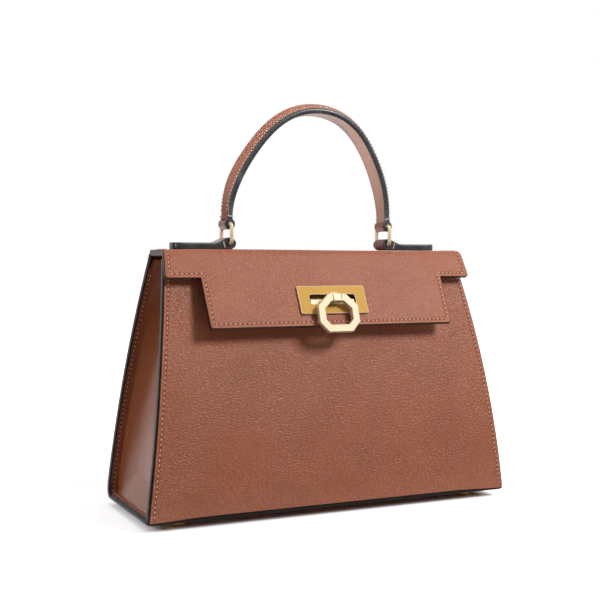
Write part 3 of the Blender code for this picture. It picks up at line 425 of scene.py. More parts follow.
def closed_shell(outer, inner, keep, lip, steps=6, power=0.6):
    """Two grids, one over the other, joined all round through a bulging painted rim.

    The rim runs from the outer point to the inner one as half a superellipse: the share of the
    way in is (1 - cos) / 2 and the bulge is sin, both with a power below one, so that the edge
    is nearly flat with round corners. Points that fall together are one point.
    Returns points, blocks of faces, zones (0 outer, 1 rim, 2 inner) and each point's grid index.
    """
    rows, columns = outer.shape[:2]
    outside, inside = outer.reshape(-1, 3), inner.reshape(-1, 3)
    quads = grid_faces(rows, columns, keep)
    _, first, same = np.unique(
        np.round(outside * 1e6).astype(np.int64), axis=0, return_index=True, return_inverse=True
    )
    quads = same.reshape(-1)[quads]
    used = np.unique(quads)
    quads = np.searchsorted(used, quads)
    source = first[used]
    outside, inside = outside[source], inside[source]
    count = len(outside)
    flat = (quads == np.roll(quads, -1, axis=1)).sum(axis=1)
    square, pointed = quads[flat == 0], quads[flat == 1]
    shift = (pointed == np.roll(pointed, -1, axis=1)).argmax(axis=1)
    order = (np.arange(3)[None, :] + 1 + shift[:, None]) % 4
    pointed = np.take_along_axis(pointed, order, axis=1)
    area = np.concatenate([
        np.cross(outside[square[:, 2]] - outside[square[:, 0]],
                 outside[square[:, 3]] - outside[square[:, 1]]),
        np.cross(outside[pointed[:, 1]] - outside[pointed[:, 0]],
                 outside[pointed[:, 2]] - outside[pointed[:, 0]]),
    ])
    owner = np.concatenate([square[:, 0], pointed[:, 0]])
    if (area * (outside - inside)[owner]).sum() < 0:
        square, pointed, area = square[:, ::-1], pointed[:, ::-1], -area
    normals = np.zeros_like(outside)
    np.add.at(normals, square, np.repeat(area[:len(square), None], 4, axis=1))
    np.add.at(normals, pointed, np.repeat(area[len(square):, None], 3, axis=1))
    normals = unit(normals)
    edges = np.concatenate([
        np.stack([block, np.roll(block, -1, axis=1)], -1).reshape(-1, 2)
        for block in (square, pointed)
    ])
    rim = edges[~np.isin(edges[:, 0] * count + edges[:, 1], edges[:, 1] * count + edges[:, 0])]
    ahead = unit(outside[rim[:, 1]] - outside[rim[:, 0]])
    away = unit(np.cross(ahead, normals[rim[:, 0]] + normals[rim[:, 1]]))
    outwards = np.zeros_like(outside)
    np.add.at(outwards, rim, np.repeat(away[:, None], 2, axis=1))
    ring = np.unique(rim)
    outwards = unit(outwards[ring])
    fall, bulge = superellipse(np.pi * np.arange(1, steps) / steps, power)
    share = (1 - fall[:, None, None]) / 2
    between = (
        outside[ring] * (1 - share) + inside[ring] * share
        + outwards * (lip * bulge)[:, None, None]
    )
    points = np.concatenate([outside, inside, between.reshape(-1, 3)])
    ids = np.concatenate([
        ring[None], 2 * count + np.arange((steps - 1) * len(ring)).reshape(steps - 1, -1),
        ring[None] + count,
    ])
    near, far = np.searchsorted(ring, rim[:, 0]), np.searchsorted(ring, rim[:, 1])
    border = np.stack([ids[:-1, far], ids[:-1, near], ids[1:, near], ids[1:, far]], -1)
    blocks = [square, border.reshape(-1, 4), square[:, ::-1] + count]
    zones = [np.full(len(block), zone) for zone, block in enumerate(blocks)]
    if len(pointed):
        blocks += [pointed, pointed[:, ::-1] + count]
        zones += [np.zeros(len(pointed)), np.full(len(pointed), 2)]
    source = np.concatenate([source, source, np.tile(source[ring], steps - 1)])
    return points, blocks, zones, source


def add_shell(
    name, outer, inner, finishes, body, uv=None, seam=None, keep=None, lip=THIN_LIP,
):
    """A closed shell as a piece; uv defaults to x and the length along the middle column."""
    points, blocks, zones, source = closed_shell(outer, inner, keep, lip)
    if uv is None:
        run = arc_length(outer[:, outer.shape[1] // 2])
        uv = np.stack([outer[..., 0], np.broadcast_to(run[:, None], outer.shape[:2])], -1)
    if seam is not None:
        seam = seam.reshape(-1)[source]
    uv = uv.reshape(-1, 2)[source]
    return add_piece(name, points, blocks, finishes, body, zones, uv, seam)


def swept(sections, closed=False):
    """A closed section carried along a path: blocks of faces over the sections' points.

    Each open end is closed by a fan of triangles round the middle of its section.
    """
    count, size = sections.shape[:2]
    points = sections.reshape(-1, 3)
    side = grid_faces(count, size, wrap=True)
    if closed:
        last = (count - 1) * size + np.arange(size)
        first = np.arange(size)
        joint = np.stack([last, np.roll(last, -1), np.roll(first, -1), first], -1)
        return points, [np.concatenate([side, joint])]
    middles = sections[[0, -1]].mean(axis=1)
    ring, total = np.arange(size), len(points)
    near = np.stack([np.roll(ring, -1), ring, np.full(size, total)], -1)
    end = ring + (count - 1) * size
    far = np.stack([end, np.roll(end, -1), np.full(size, total + 1)], -1)
    return np.concatenate([points, middles]), [side, near, far]


def add_swept(
    name, sections, finishes, body, zone=None, closed=False, end_zone=0, sharp=SHARP,
):
    """A swept piece; zone gives each strip of the section its finish."""
    points, blocks = swept(sections, closed)
    count, size = sections.shape[:2]
    strips = np.zeros(size) if zone is None else np.asarray(zone)
    zones = [np.tile(strips, count if closed else count - 1)]
    zones += [np.full(size, end_zone) for _ in blocks[1:]]
    around = np.linalg.norm(np.roll(sections, -1, axis=1) - sections, axis=2).mean(axis=0)
    across = np.concatenate([[0.0], np.cumsum(around)[:-1]])
    along = arc_length(sections.mean(axis=1))
    uv = np.stack(np.broadcast_arrays(across[None, :], along[:, None]), -1).reshape(-1, 2)
    uv = np.concatenate([uv, np.zeros((len(points) - len(uv), 2))])
    return add_piece(name, points, blocks, finishes, body, zones, uv, sharp=sharp)


def strap_sections(
    places, out, half, low, high, crown=0.0, edge=STRAP_EDGE, lip=STRAP_LIP, power=EDGE_POWER,
):
    """Sections of a strap with painted edges, and the finish of each strip.

    Across the top the height is high plus crown times a low roof. Each edge is half a
    superellipse, squarer with a lower power.
    """
    top = np.linspace(-1, 1, 15)
    fall, bulge = superellipse(np.pi * np.arange(1, 8) / 8, power)
    half, low, high, crown = (
        np.broadcast_to(value, len(places))[:, None] for value in (half, low, high, crown)
    )
    flat = half - edge
    middle, reach = (low + high) / 2, (high - low) / 2
    side = flat + (edge + lip) * bulge
    width = np.concatenate([flat * top, side, flat * top[::-1], -side], 1)
    height = np.concatenate([
        high + crown * dome(top), middle + reach * fall,
        low + 0 * top[None, :], middle - reach * fall,
    ], 1)
    out = np.broadcast_to(out, places.shape)
    sections = (
        places[:, None] + out[:, None] * height[..., None]
        + np.array(ACROSS) * width[..., None]
    )
    faces, edges = len(top), len(bulge)
    zone = np.repeat((0, 1, 2, 1), (faces - 1, edges + 1, faces - 1, edges + 1))
    return sections, zone


def dome(share, bend=0.2):
    """Height of a padded strap over its width: a hyperbola, nearly a low roof."""
    return 1 - (np.sqrt(share ** 2 + bend ** 2) - bend) / (math.sqrt(1 + bend ** 2) - bend)


def band_half(radius, steps=12, base_steps=23):
    """Outer and inner (y, z) line of a side band from the rim to the middle of the base."""
    heights = np.linspace(FRONT_RIM + BAND_RISE, BASE_Z + radius, 60)
    wall = np.stack([-half_depth(heights), heights], 1)
    ray = rays(180, 270, steps + 1)[1:]
    centre = wall[-1] + (radius, 0)
    corner = centre + ray * radius
    base_y = np.linspace(corner[-1, 0], 0, base_steps + 1)[1:]
    base = np.stack([base_y, np.full(base_steps, BASE_Z)], 1)
    low = BASE_EDGE_TOP - BASE_Z
    wall_in = wall + left_normals(wall) * WALL
    share = smooth(0, 1, np.linspace(0, 1, steps + 1)[1:])[:, None]
    inset = max(radius, WALL) - radius + BAND_ROOT
    start, end = wall_in[-1], np.array([centre[0] + inset, BASE_EDGE_TOP])
    corner_in = start * (1 - share) + end * share
    corner_in[:, 1] = np.maximum((centre + ray * (radius - low))[:, 1], corner_in[:, 1])
    base_in_y = np.linspace(corner_in[-1, 0], 0, base_steps + 1)[1:]
    base_in = np.stack([base_in_y, base[:, 1] + low], 1)
    inner = np.concatenate([wall_in, corner_in, base_in])
    inner[:, 1] = np.maximum(inner[:, 1], BASE_EDGE_TOP)
    return np.concatenate([wall, corner, base]), inner


def side_band(side, word):
    """Painted edge where panel, board, lining and gusset are sewn: a band round one side.

    Its outer line goes down the front wall, round the base and up the back wall, its inner line
    lies one wall's thickness in, and the arch between them bulges past the body's width.
    """
    front, front_in = band_half(BASE_CORNER)
    back, back_in = band_half(REAR_CORNER)
    outer, inner = joined(front, back), joined(front_in, back_in)
    outer[-1, 1] += REAR_BAND_RISE
    inner[-1, 1] += REAR_BAND_RISE
    fall, bulge = superellipse(np.linspace(0, np.pi, 11), EDGE_POWER)
    share = (1 - fall[:, None]) / 2
    lip = bpy.context.scene.handbag_sizes.edge_lip
    yz = outer[:, None] * (1 - share) + inner[:, None] * share
    x = half_width(outer[:, 1])[:, None] - BAND_ROOT + (BAND_ROOT + lip) * bulge
    sections = np.concatenate([side * x[..., None], yz], -1)
    add_swept("side_edge_" + word, sections, ["edge paint"], "shell")


def make_edges():
    """Painted edges of the body: both sides, the base all round, and the front rim."""
    sizes = bpy.context.scene.handbag_sizes
    for side, word in SIDES:
        side_band(side, word)
    middle_z = (BASE_Z + BASE_EDGE_TOP) / 2
    half_x = half_width(middle_z) - BASE_EDGE_SIDE
    half_y = half_depth(PANEL_FOOT) - BASE_EDGE_FRONT
    path = rounded_rectangle(2 * half_x, 2 * half_y, BASE_EDGE_CORNER) - (0, BASE_EDGE_SHIFT)
    inside = offset_outline(path, BASE_EDGE_DEPTH)
    fall, bulge = superellipse(np.linspace(0, np.pi, 9), BASE_EDGE_POWER)
    rise = fall * (BASE_EDGE_TOP - BASE_Z) / 2
    away = unit(path - inside)
    flat = path[:, None] + away[:, None] * (bulge[:, None] * sizes.edge_lip)
    plane = np.concatenate([flat, inside[:, None], inside[:, None]], 1)
    z = middle_z + np.concatenate([rise, rise[[-1, 0]]])
    sections = np.concatenate([plane, np.broadcast_to(z[:, None], (*plane.shape[:2], 1))], -1)
    add_swept("base_edge", sections, ["edge paint"], "shell", closed=True)
    share, fall = np.array(RIM_CAP).T
    y = -half_depth(FRONT_RIM) + RIM_CAP_START + share * RIM_CAP_DEPTH
    x = (half_width(FRONT_RIM) - RIM_CAP_INSET) * np.linspace(-1, 1, 60)
    sections = np.stack(np.broadcast_arrays(x[:, None], y, fall + FRONT_RIM), -1)
    add_swept("front_rim_edge", sections, ["edge paint"], "shell")


def make_front_panel():
    """Front wall: each row is a straight line across the bag at one height, on the body's depth.

    The lower corners droop, and slow waves push the wall in and out by less than half a mm.
    """
    sizes = bpy.context.scene.handbag_sizes
    span = np.concatenate([[-1.0, -0.994], np.linspace(-0.985, 0.985, 117), [0.994, 1.0]])
    top = FRONT_RIM - RIM_SETBACK
    droop_start = 1 - DROOP_REACH / half_width(PANEL_FOOT)
    foot = PANEL_FOOT - CORNER_DROOP * smooth(droop_start, 1.0, np.abs(span))
    z = top + (foot - top) * np.linspace(0, 1, 88)[:, None]
    x = span * (half_width(z) - PANEL_SETBACK)
    seam = np.minimum((1 - np.abs(span)) * half_width(z), z - foot + 0.02)
    wave = soft_waves(x, z) * sizes.sag * smooth(0.004, 0.03, seam) * smooth(0, 0.05, z)
    outer = np.stack([x, -half_depth(z) - wave, z], -1)
    inwards = unit(np.stack([np.zeros_like(z), np.ones_like(z), -wall_slope(z)], -1))
    piece = add_shell(
        "front_panel_leather", outer, outer + inwards * LEATHER,
        ["front leather", "edge paint", "lining leather"], "shell",
        seam=seam, lip=sizes.edge_lip,
    )
    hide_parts("front_panel")


def flap_rows():
    """Outer and inner (y, z) lines of the back wall and the flap, row by row.

    The outer line climbs the back wall, turns the rear fold on an arc, runs flat over the top,
    turns the front bend and goes down the leaning front. The inner line is one thickness in.
    The third array is the way down the leaning front, and -1 before it.
    """
    fold_z = BODY_TOP - FOLD_RADIUS
    lean = math.atan(wall_slope(fold_z))
    z = np.linspace(PANEL_FOOT, fold_z + FOLD_RADIUS * math.sin(lean), WALL_ROWS)
    wall = np.stack([back_depth(z), z], 1)
    centre = np.array([wall[-1, 0] - FOLD_RADIUS * math.cos(lean), fold_z])
    ray = rays(math.degrees(lean), 90, FOLD_ROWS + 1)[1:]
    fold = centre + ray * FOLD_RADIUS
    thick = LEATHER + (TOP_THICK - LEATHER) * smooth(0, 1, np.linspace(0, 1, FOLD_ROWS + 1)[1:])
    fold_in = centre + ray * (FOLD_RADIUS - thick)[:, None]
    tangent = BEND_RADIUS * math.tan((math.pi / 2 - FLAP_LEAN) / 2)
    pivot = np.array([-FLAP_REACH + tangent, BODY_TOP - BEND_RADIUS])
    y = np.linspace(centre[0], pivot[0], 18)[1:]
    top = np.stack([y, np.full(len(y), BODY_TOP)], 1)
    ray = rays(90, 180 - math.degrees(FLAP_LEAN), BEND_ROWS + 1)[1:]
    bend = pivot + ray * BEND_RADIUS
    thick = TOP_THICK + (FRONT_THICK - TOP_THICK) * np.linspace(0, 1, BEND_ROWS)
    bend_in = pivot + ray * (BEND_RADIUS - thick)[:, None]
    quarter = np.sin(np.radians([0, 25, 50, 70, 90]))
    down = np.concatenate([
        np.linspace(tangent, EAR_LENGTH - EAR_CORNER, 9)[1:-1],
        EAR_LENGTH - EAR_CORNER * (1 - quarter),
        np.linspace(EAR_LENGTH, WINDOW_TOP, 7)[1:],
        np.linspace(WINDOW_TOP, WINDOW_LOW, 8)[1:],
        np.linspace(WINDOW_LOW, FLAP_LENGTH - TONGUE_CORNER, 7)[1:-1],
        FLAP_LENGTH - TONGUE_CORNER * (1 - quarter),
    ])
    outer = np.concatenate([wall, fold, top, bend, slope_place(down)])
    inner = np.concatenate([
        wall + left_normals(wall) * LEATHER, fold_in, top - (0, TOP_THICK), bend_in,
        slope_place(down, -FRONT_THICK),
    ])
    return outer, inner, np.concatenate([np.full(len(outer) - len(down), -1.0), down])


def corner_cut(past, radius):
    """How much a round corner takes off a half width, from how far a row is past its start."""
    return radius * (1 - np.sqrt(1 - np.clip(past / radius, 0, 1) ** 2))


def flap_widths(outer, down):
    """Half widths of the ears and of the tongue at each row of the back and flap."""
    run = arc_length(outer)
    climb = WALL_ROWS + FOLD_ROWS + 1
    hinge = np.interp(BODY_TOP - SAME, outer[:climb, 1], run[:climb])
    ear_end = run[np.argmin(np.abs(down - EAR_LENGTH))]
    share = np.clip((run - hinge) / (ear_end - hinge), 0, 1)
    wall = half_width(np.minimum(outer[:, 1], BODY_TOP)) - PANEL_SETBACK
    flap = HINGE_HALF + (EAR_HALF - HINGE_HALF) * share - FLAP_SETBACK
    mix = smooth(hinge - FLARE, hinge, run)
    ear = wall * (1 - mix) + flap * mix
    cut = corner_cut(down - (EAR_LENGTH - EAR_CORNER), EAR_CORNER)
    ear = np.where(down <= EAR_LENGTH + SAME, ear - cut, ear)
    fall = np.clip((down - EAR_LENGTH) / (FLAP_LENGTH - EAR_LENGTH), 0, 1)
    tongue = TONGUE_HALF + (TONGUE_LOW_HALF - TONGUE_HALF) * fall - FLAP_SETBACK
    return ear, tongue - corner_cut(down - (FLAP_LENGTH - TONGUE_CORNER), TONGUE_CORNER)


def flap_seam(x, down, ear, tongue):
    """Distance from each point of the flap to its nearest cut edge."""
    on_ear = down <= EAR_LENGTH + SAME
    seam = np.where(on_ear, ear, tongue) - np.abs(x)
    past = on_ear & (np.abs(x) > tongue - NOTCH_REACH) & (down > 0)
    corner = np.maximum(EAR_LENGTH - down, tongue - np.abs(x))
    seam = np.where(past, np.minimum(seam, corner), seam)
    return np.where(down > 0, np.minimum(seam, FLAP_LENGTH - down), seam)


def make_flap():
    """Back wall and flap as one leather: rows along its line, columns spread between the
    half widths of ear, tongue and clasp window. It turns over the rear fold behind the top."""
    sizes = bpy.context.scene.handbag_sizes
    outer_line, inner_line, down = flap_rows()
    ear, tongue = (half[:, None] for half in flap_widths(outer_line, down))
    window = np.full_like(tongue, WINDOW_HALF)
    right = np.concatenate([
        0 * window,
        *(low + (high - low) * np.linspace(0, 1, count + 1)[1:] for low, high, count in (
            (0 * window, window, WINDOW_COLUMNS), (window, tongue, TONGUE_COLUMNS),
            (tongue, ear, EAR_COLUMNS),
        )),
    ], 1)
    x = np.concatenate([-right[:, :0:-1], right], 1)
    column = np.abs(np.arange(x.shape[1]) - right.shape[1] + 1)
    cell = np.minimum(column[1:], column[:-1])
    row_down = (down[1:] + down[:-1]) / 2
    in_window = (row_down > WINDOW_TOP) & (row_down < WINDOW_LOW)
    keep = ~((row_down > EAR_LENGTH)[:, None] & (cell >= WINDOW_COLUMNS + TONGUE_COLUMNS))
    keep &= ~(in_window[:, None] & (cell < WINDOW_COLUMNS))
    down = down[:, None]
    seam = flap_seam(x, down, ear, tongue)
    up = outer_line[:, 1][:, None]
    wave = soft_waves(x + 0.2, up) * sizes.sag * smooth(0.004, 0.03, seam)
    wave = np.where(down > 0.004, wave * 0.5, wave * smooth(0, 0.05, up))
    yz = outer_line[:, None] - left_normals(outer_line)[:, None] * wave[..., None]
    outer = np.concatenate([x[..., None], yz], -1)
    inside = np.broadcast_to(inner_line[:, None], yz.shape)
    inner = np.concatenate([x[..., None], inside], -1)
    piece = add_shell(
        "flap_and_back_leather", outer, inner,
        ["grained leather", "flap edge paint", "lining leather"], None,
        seam=seam, keep=keep, lip=sizes.edge_lip,
    )
    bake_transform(piece)
    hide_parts("back_panel", "flap_leather", "flap_lining", "flap_board")


def gusset_outline(depth):
    """(y, z) U-shaped line at a depth in from the body: down the front, across, up the back."""
    z = np.linspace(GUSSET_RIM, BASE_Z + 0.0100, 46)
    wall = np.stack([-half_depth(z), z], 1)
    wall = wall + left_normals(wall) * depth
    further = depth - FLANGE_DEPTH
    floor, radius = BASE_Z + LEATHER + FLANGE_GAP + further, FLANGE_CORNER - further
    wall = wall[wall[:, 1] > floor + radius]
    wall[:, 1] = np.minimum(wall[:, 1], GUSSET_RIM)
    wall[0, 1] = GUSSET_RIM
    corner = rays(180, 270, 9) * radius + (wall[-1, 0] + radius, floor + radius)
    middle = np.linspace(corner[-1, 0], 0, 15)[1:]
    half = np.concatenate([wall, corner, np.stack([middle, np.full(len(middle), floor)], 1)])
    return joined(half, half)


def gusset_grid(side, visible, deeper=0.0):
    """Rings from a gusset's flange to its middle, as places.

    The flange lies along the panels, a soft bend turns it, and the wall then dishes in by
    1 - (1 - share) squared of its depth, which grows from the base to the rim.
    """
    steps = FLANGE_STEPS if visible else INNER_FLANGE_STEPS
    base = gusset_outline(FLANGE_DEPTH + (LEATHER if visible else 0.0))
    inwards = left_normals(base)
    rings = []
    for offset, inward in steps:
        line = base + inwards * offset
        line[:, 1] = np.minimum(line[:, 1], GUSSET_RIM)
        line[[0, -1], 1] = GUSSET_RIM
        rings.append(np.column_stack([line, np.full(len(line), inward)]))
    last = rings[-1]
    low = last[:, 1].min()
    shares = np.linspace(0, 1, 19)[1:, None]
    y = last[:, 0] * (1 - shares)
    rise = np.maximum(last[:, 1], low + DISH_RISE) - last[:, 1]
    z = last[:, 1] + rise * shares
    dish = DISH_BASE + (DISH_TOP - DISH_BASE) * (z - low) / (GUSSET_RIM - low)
    inward = steps[-1][1] + dish * (1 - (1 - shares) ** 2)
    grid = np.concatenate([np.stack(rings), np.stack([y, z, inward], -1)])
    x = side * (half_width(grid[..., 1]) - grid[..., 2] - deeper)
    return np.stack([x, grid[..., 0], grid[..., 1]], -1)


def make_gussets():
    """Both side walls of folded leather, with their linings."""
    turned = len(FLANGE_STEPS)
    for side, word in SIDES:
        outer, inner = gusset_grid(side, True), gusset_grid(side, False)
        across, up = outer[..., 1], outer[..., 2]
        wave = soft_waves(2 * across[turned:], 1.4 * up[turned:])
        outer[turned:, :, 0] += side * GUSSET_WAVE * wave
        uv = np.stack([across, up], -1)
        piece = add_shell(
            "gusset_leather_" + word, outer, inner,
            ["smooth leather", "edge paint", "lining leather"], "shell",
            uv=uv,
        )
        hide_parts(word + "_gusset")
        near, far = (
            gusset_grid(side, False, deeper)[turned + 1:]
            for deeper in (GUSSET_LINING_GAP + LINING, GUSSET_LINING_GAP)
        )
        lining = add_shell(
            "gusset_lining_" + word, near, far,
            ["lining leather", "edge paint", "lining leather"], "shell",
            uv=uv[turned + 1:], lip=THIN_LIP / 2,
        )
        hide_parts(word + "_gusset_lining")


def make_base():
    """Base leather, and four turned feet: a profile carried round an axis."""
    half_x, half_y = half_width(BASE_Z) - BASE_SIDE_INSET, half_depth(BASE_Z) - BASE_FRONT_INSET
    x, y = np.meshgrid(np.linspace(-1, 1, 57) * half_x, np.linspace(-1, 1, 23) * half_y)
    seam = np.minimum(half_x - np.abs(x), half_y - np.abs(y)) + THIN_LIP
    outer = np.stack([x, y - BASE_SHIFT, np.full_like(x, BASE_Z)], -1)
    piece = add_shell(
        "base_leather", outer, outer + (0, 0, LEATHER),
        ["grained leather", "edge paint", "lining leather"], "shell",
        uv=np.stack([x, y], -1), seam=seam,
    )
    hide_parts("base_panel")
    radius, height = np.array(FOOT_PROFILE[1:-1]).T[..., None]
    turn = np.linspace(0, 2 * math.pi, 49)[:-1]
    for fore, y in (("front", -FOOT_Y), ("back", FOOT_Y)):
        for side, hand in SIDES:
            rings = np.stack(np.broadcast_arrays(
                side * FOOT_X + radius * np.cos(turn), y + radius * np.sin(turn), height,
            ), -1)
            foot = add_swept(
                f"foot_{fore}_{hand}_turned", rings, ["satin gold"], "shell",
            )
            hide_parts(f"foot_{fore}_{hand}")


def flat_ring(outer, inner, thick, bevel, closed=True):
    """Sections of a flat frame between two outlines of as many points, with bevelled edges.

    Each section climbs the outer wall, crosses the top and goes down the inner wall.
    """
    turn = np.radians([0, 45, 90])
    inset, rise = bevel * (1 - np.cos(turn)), bevel * np.sin(turn)
    steps = [
        *((outer, d, r) for d, r in zip(inset[::-1], bevel - rise[::-1])),
        *((outer, d, thick - bevel + r) for d, r in zip(inset, rise)),
        *((inner, -d, thick - bevel + r) for d, r in zip(inset[::-1], rise[::-1])),
        *((inner, -d, bevel - r) for d, r in zip(inset, rise)),
    ]
    lines = [
        np.column_stack([offset_outline(line, distance), np.full(len(line), height)])
        for line, distance, height in steps
    ]
    sections = np.stack(lines, 1)
    if not closed:
        sections[[0, -1], :, 0] = outer[[0, -1], 0][:, None]
    return sections


def rounded_block(name, size, face, power=0.28):
    """A gold block with soft edges: a superellipsoid, whose sines and cosines have a low power."""
    def eased(value):
        return np.sign(value) * np.abs(value) ** power

    u = np.linspace(0, 2 * math.pi, 49)[:-1] + 0.01
    v = np.linspace(-math.pi / 2, math.pi / 2, 27)[1:-1, None]
    level = eased(np.cos(v))
    rings = np.stack(np.broadcast_arrays(
        level * eased(np.cos(u)), level * eased(np.sin(u)), eased(np.sin(v)),
    ), -1)
    rings = placed(rings * (np.array(size) / 2), *face)
    return add_swept(name, rings, ["pale gold"], "flap")


def make_clasp():
    """Slotted plate, the knuckle in its slot, and the hanging eight-sided ring."""
    plate = rounded_rectangle(PLATE_WIDTH, PLATE_HEIGHT, PLATE_CORNER)
    slot = rounded_rectangle(SLOT_WIDTH, SLOT_HEIGHT - SLOT_DROP, SLOT_CORNER)
    slot = slot + (0, PLATE_DOWN - SLOT_DOWN - SLOT_DROP / 2)
    sections = flat_ring(plate, slot, PLATE, METAL_BEVEL)
    piece = add_swept(
        "clasp_plate_slotted", placed(sections, *lean_frame(FLAP_LEAN, PLATE_DOWN, PLATE_GAP)),
        ["satin gold", "pale gold"], "flap", closed=True, sharp=METAL_SHARP,
        zone=np.arange(sections.shape[1]) % 3 != 2,
    )
    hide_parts("clasp_plate")
    head = rounded_block("knuckle_head", KNUCKLE_SIZE, lean_frame(FLAP_LEAN, PIN_DOWN, PIN_STAND))
    rounded_block(
        "knuckle_neck", KNUCKLE_NECK_SIZE, lean_frame(FLAP_LEAN, NECK_DOWN, NECK_STAND), 0.2,
    )
    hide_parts("knuckle")
    top = RING_FACE / 2
    low = top - RING_HEIGHT
    half = np.array([
        (RING_GAP, top), (RING_TOP_EDGE / 2, top), (RING_WIDTH / 2, top - RING_TOP_CORNER),
        (RING_WIDTH / 2, low + RING_LOW_CORNER), (RING_LOW_EDGE / 2, low),
    ])
    outer = np.concatenate([half, half[::-1] * (-1, 1)])[::-1]
    end = np.array([[RING_GAP, top - RING_FACE]])
    inner = np.concatenate([end * (-1, 1), offset_outline(outer[1:-1], RING_FACE), end])
    sections = flat_ring(outer, inner, RING_DEPTH, METAL_BEVEL, closed=False)
    face = lean_frame(RING_LEAN, PIN_DOWN, PIN_STAND)
    ring = add_swept(
        "clasp_ring_bevelled", placed(sections - (0, 0, RING_DEPTH / 2), *face),
        ["pale gold"], "clasp", sharp=METAL_SHARP,
    )
    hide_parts("clasp_ring")


def make_wire_rings():
    """Two bent wires: a round section carried along a rectangle with round corners."""
    path = rounded_rectangle(WIRE_WIDTH, WIRE_RISE, WIRE_BEND)
    inwards = unit(offset_outline(path, WIRE_RADIUS) - path)
    turn = np.linspace(0, 2 * math.pi, 21)[:-1]
    plane = path[:, None] + inwards[:, None] * (WIRE_RADIUS * np.cos(turn))[:, None]
    plane = plane + (0, (TAB_AXIS_Z + LOOP_AXIS_Z) / 2)
    for side, word in SIDES:
        x = np.broadcast_to(side * RING_X + WIRE_RADIUS * np.sin(turn), plane.shape[:2])
        ring = add_swept(
            "wire_ring_" + word, np.concatenate([x[..., None], plane], -1), ["pale gold"],
            word + "_link", closed=True,
        )
        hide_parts("ring_" + word)


def make_tabs():
    """Folded leather tabs: a strap section carried outwards from a round nose over the ring's bar.

    The top falls from the nose's height to the flat run along an S-curve; the far end is round.
    """
    start_round = TAB_LENGTH - TAB_ROUND
    run = np.concatenate([
        -TAB_NOSE * np.cos(np.radians(np.linspace(4, 90, 12))),
        np.linspace(0, start_round, 26)[1:],
        start_round + TAB_ROUND * np.sin(np.radians([20, 40, 58, 74, 86])),
    ])
    nose = TAB_NOSE * np.sqrt(1 - np.clip(-run / TAB_NOSE, 0, 1) ** 2)
    flat = TAB_THICK - TAB_NOSE
    high = np.where(run < 0, nose, flat + (TAB_NOSE - flat) * (1 - smooth(0, TAB_RAMP, run)))
    half = TAB_HALF - corner_cut(run - start_round, TAB_ROUND) - STRAP_SETBACK
    for side, word in SIDES:
        places = np.column_stack([side * (RING_X + run), 0 * run, 0 * run + TAB_AXIS_Z])
        sections, zone = strap_sections(places, UPWARDS, half, -nose, high)
        tab = add_swept(
            "tab_leather_" + word, sections, STRAP_FINISHES, "flap", zone,
            end_zone=1,
        )
        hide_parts("tab_" + word)


def handle_line(angle):
    """Places on the handle's arch, an ellipse pinched at its shoulders, and the ways out.

    The pinch takes the squared product of sine and cosine off its reach, and the top sways by
    twice the sine squared over one more than it.
    """
    sine, cosine = np.abs(np.sin(angle)), np.cos(angle)
    reach = RING_X - HANDLE_PINCH * (sine * cosine) ** 2
    x = reach * cosine + 2 * HANDLE_SWAY * sine ** 2 / (1 + sine ** 2)
    places = np.stack([x, 0 * angle, HANDLE_END_Z + HANDLE_RISE * sine], -1)
    narrowing = 2 * HANDLE_PINCH * sine * cosine ** 2 * (cosine ** 2 - sine ** 2)
    sway = 4 * HANDLE_SWAY * sine * cosine / (1 + sine ** 2) ** 2
    out = np.stack([HANDLE_RISE * cosine, 0 * angle, sine * reach + narrowing - sway], -1)
    return places, unit(out)


def handle_width(angle):
    """Half width and crown of the handle, which taper to its ends along an S-curve."""
    share = smooth(0, TAPER_SHARE, np.minimum(angle, math.pi - angle) / math.pi)
    half = HANDLE_END_HALF + (HANDLE_HALF - HANDLE_END_HALF) * share
    crown = HANDLE_END_CROWN + (HANDLE_CROWN - HANDLE_END_CROWN) * share
    return half, crown


def make_handle():
    """Arched grip with its domed leather, inner strip and painted edges, and a loop at each end."""
    angle = np.pad(np.linspace(0, math.pi, 121), 1, "edge")
    places, out = handle_line(angle)
    places[[0, -1], 2] -= HANDLE_OVERHANG
    half, crown = handle_width(angle)
    sections, zone = strap_sections(
        places, out, half - STRAP_SETBACK, -HANDLE_EDGE, HANDLE_EAVES, crown - HANDLE_EAVES,
        edge=GRIP_EDGE, power=GRIP_EDGE_POWER,
    )
    grip = add_swept(
        "handle_leather", sections, ["handle leather", "handle edge paint with painted reflection", "handle strip with painted light"],
        "handle", zone, end_zone=1,
    )
    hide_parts("handle_cover", "handle_strip")
    turn = np.radians(np.linspace(-86, 58, 17))
    up = np.concatenate([LOOP_RADIUS * np.sin(turn), np.linspace(*LOOP_NECK_RISE, 5)])
    thick = np.concatenate([LOOP_RADIUS * np.cos(turn), np.full(5, LOOP_NECK)])
    for side, word in SIDES:
        places = np.column_stack([0 * up + side * RING_X, 0 * up, LOOP_AXIS_Z + up])
        sections, zone = strap_sections(
            places, (side, 0.0, 0.0), LOOP_HALF - STRAP_SETBACK, -thick, thick,
        )
        loop = add_swept(
            "handle_loop_leather_" + word, sections, STRAP_FINISHES, "handle",
            zone,
        )
        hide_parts("handle_loop_" + word)


def stitch_places(path, normals, pitch, margin=0.0):
    """Centres, directions and normals at even steps along a path, less a margin at each end."""
    run = arc_length(path)
    total = run[-1] - 2 * margin
    count = max(int(round(total / pitch)), 1)
    stops = margin + (np.arange(count) + 0.5) * total / count

    def at_stops(values):
        return np.stack([np.interp(stops, run, values[:, i]) for i in range(3)], 1)

    along, out = unit(at_stops(np.gradient(path, axis=0))), unit(at_stops(normals))
    return at_stops(path), along, unit(out - along * (out * along).sum(axis=1)[:, None])


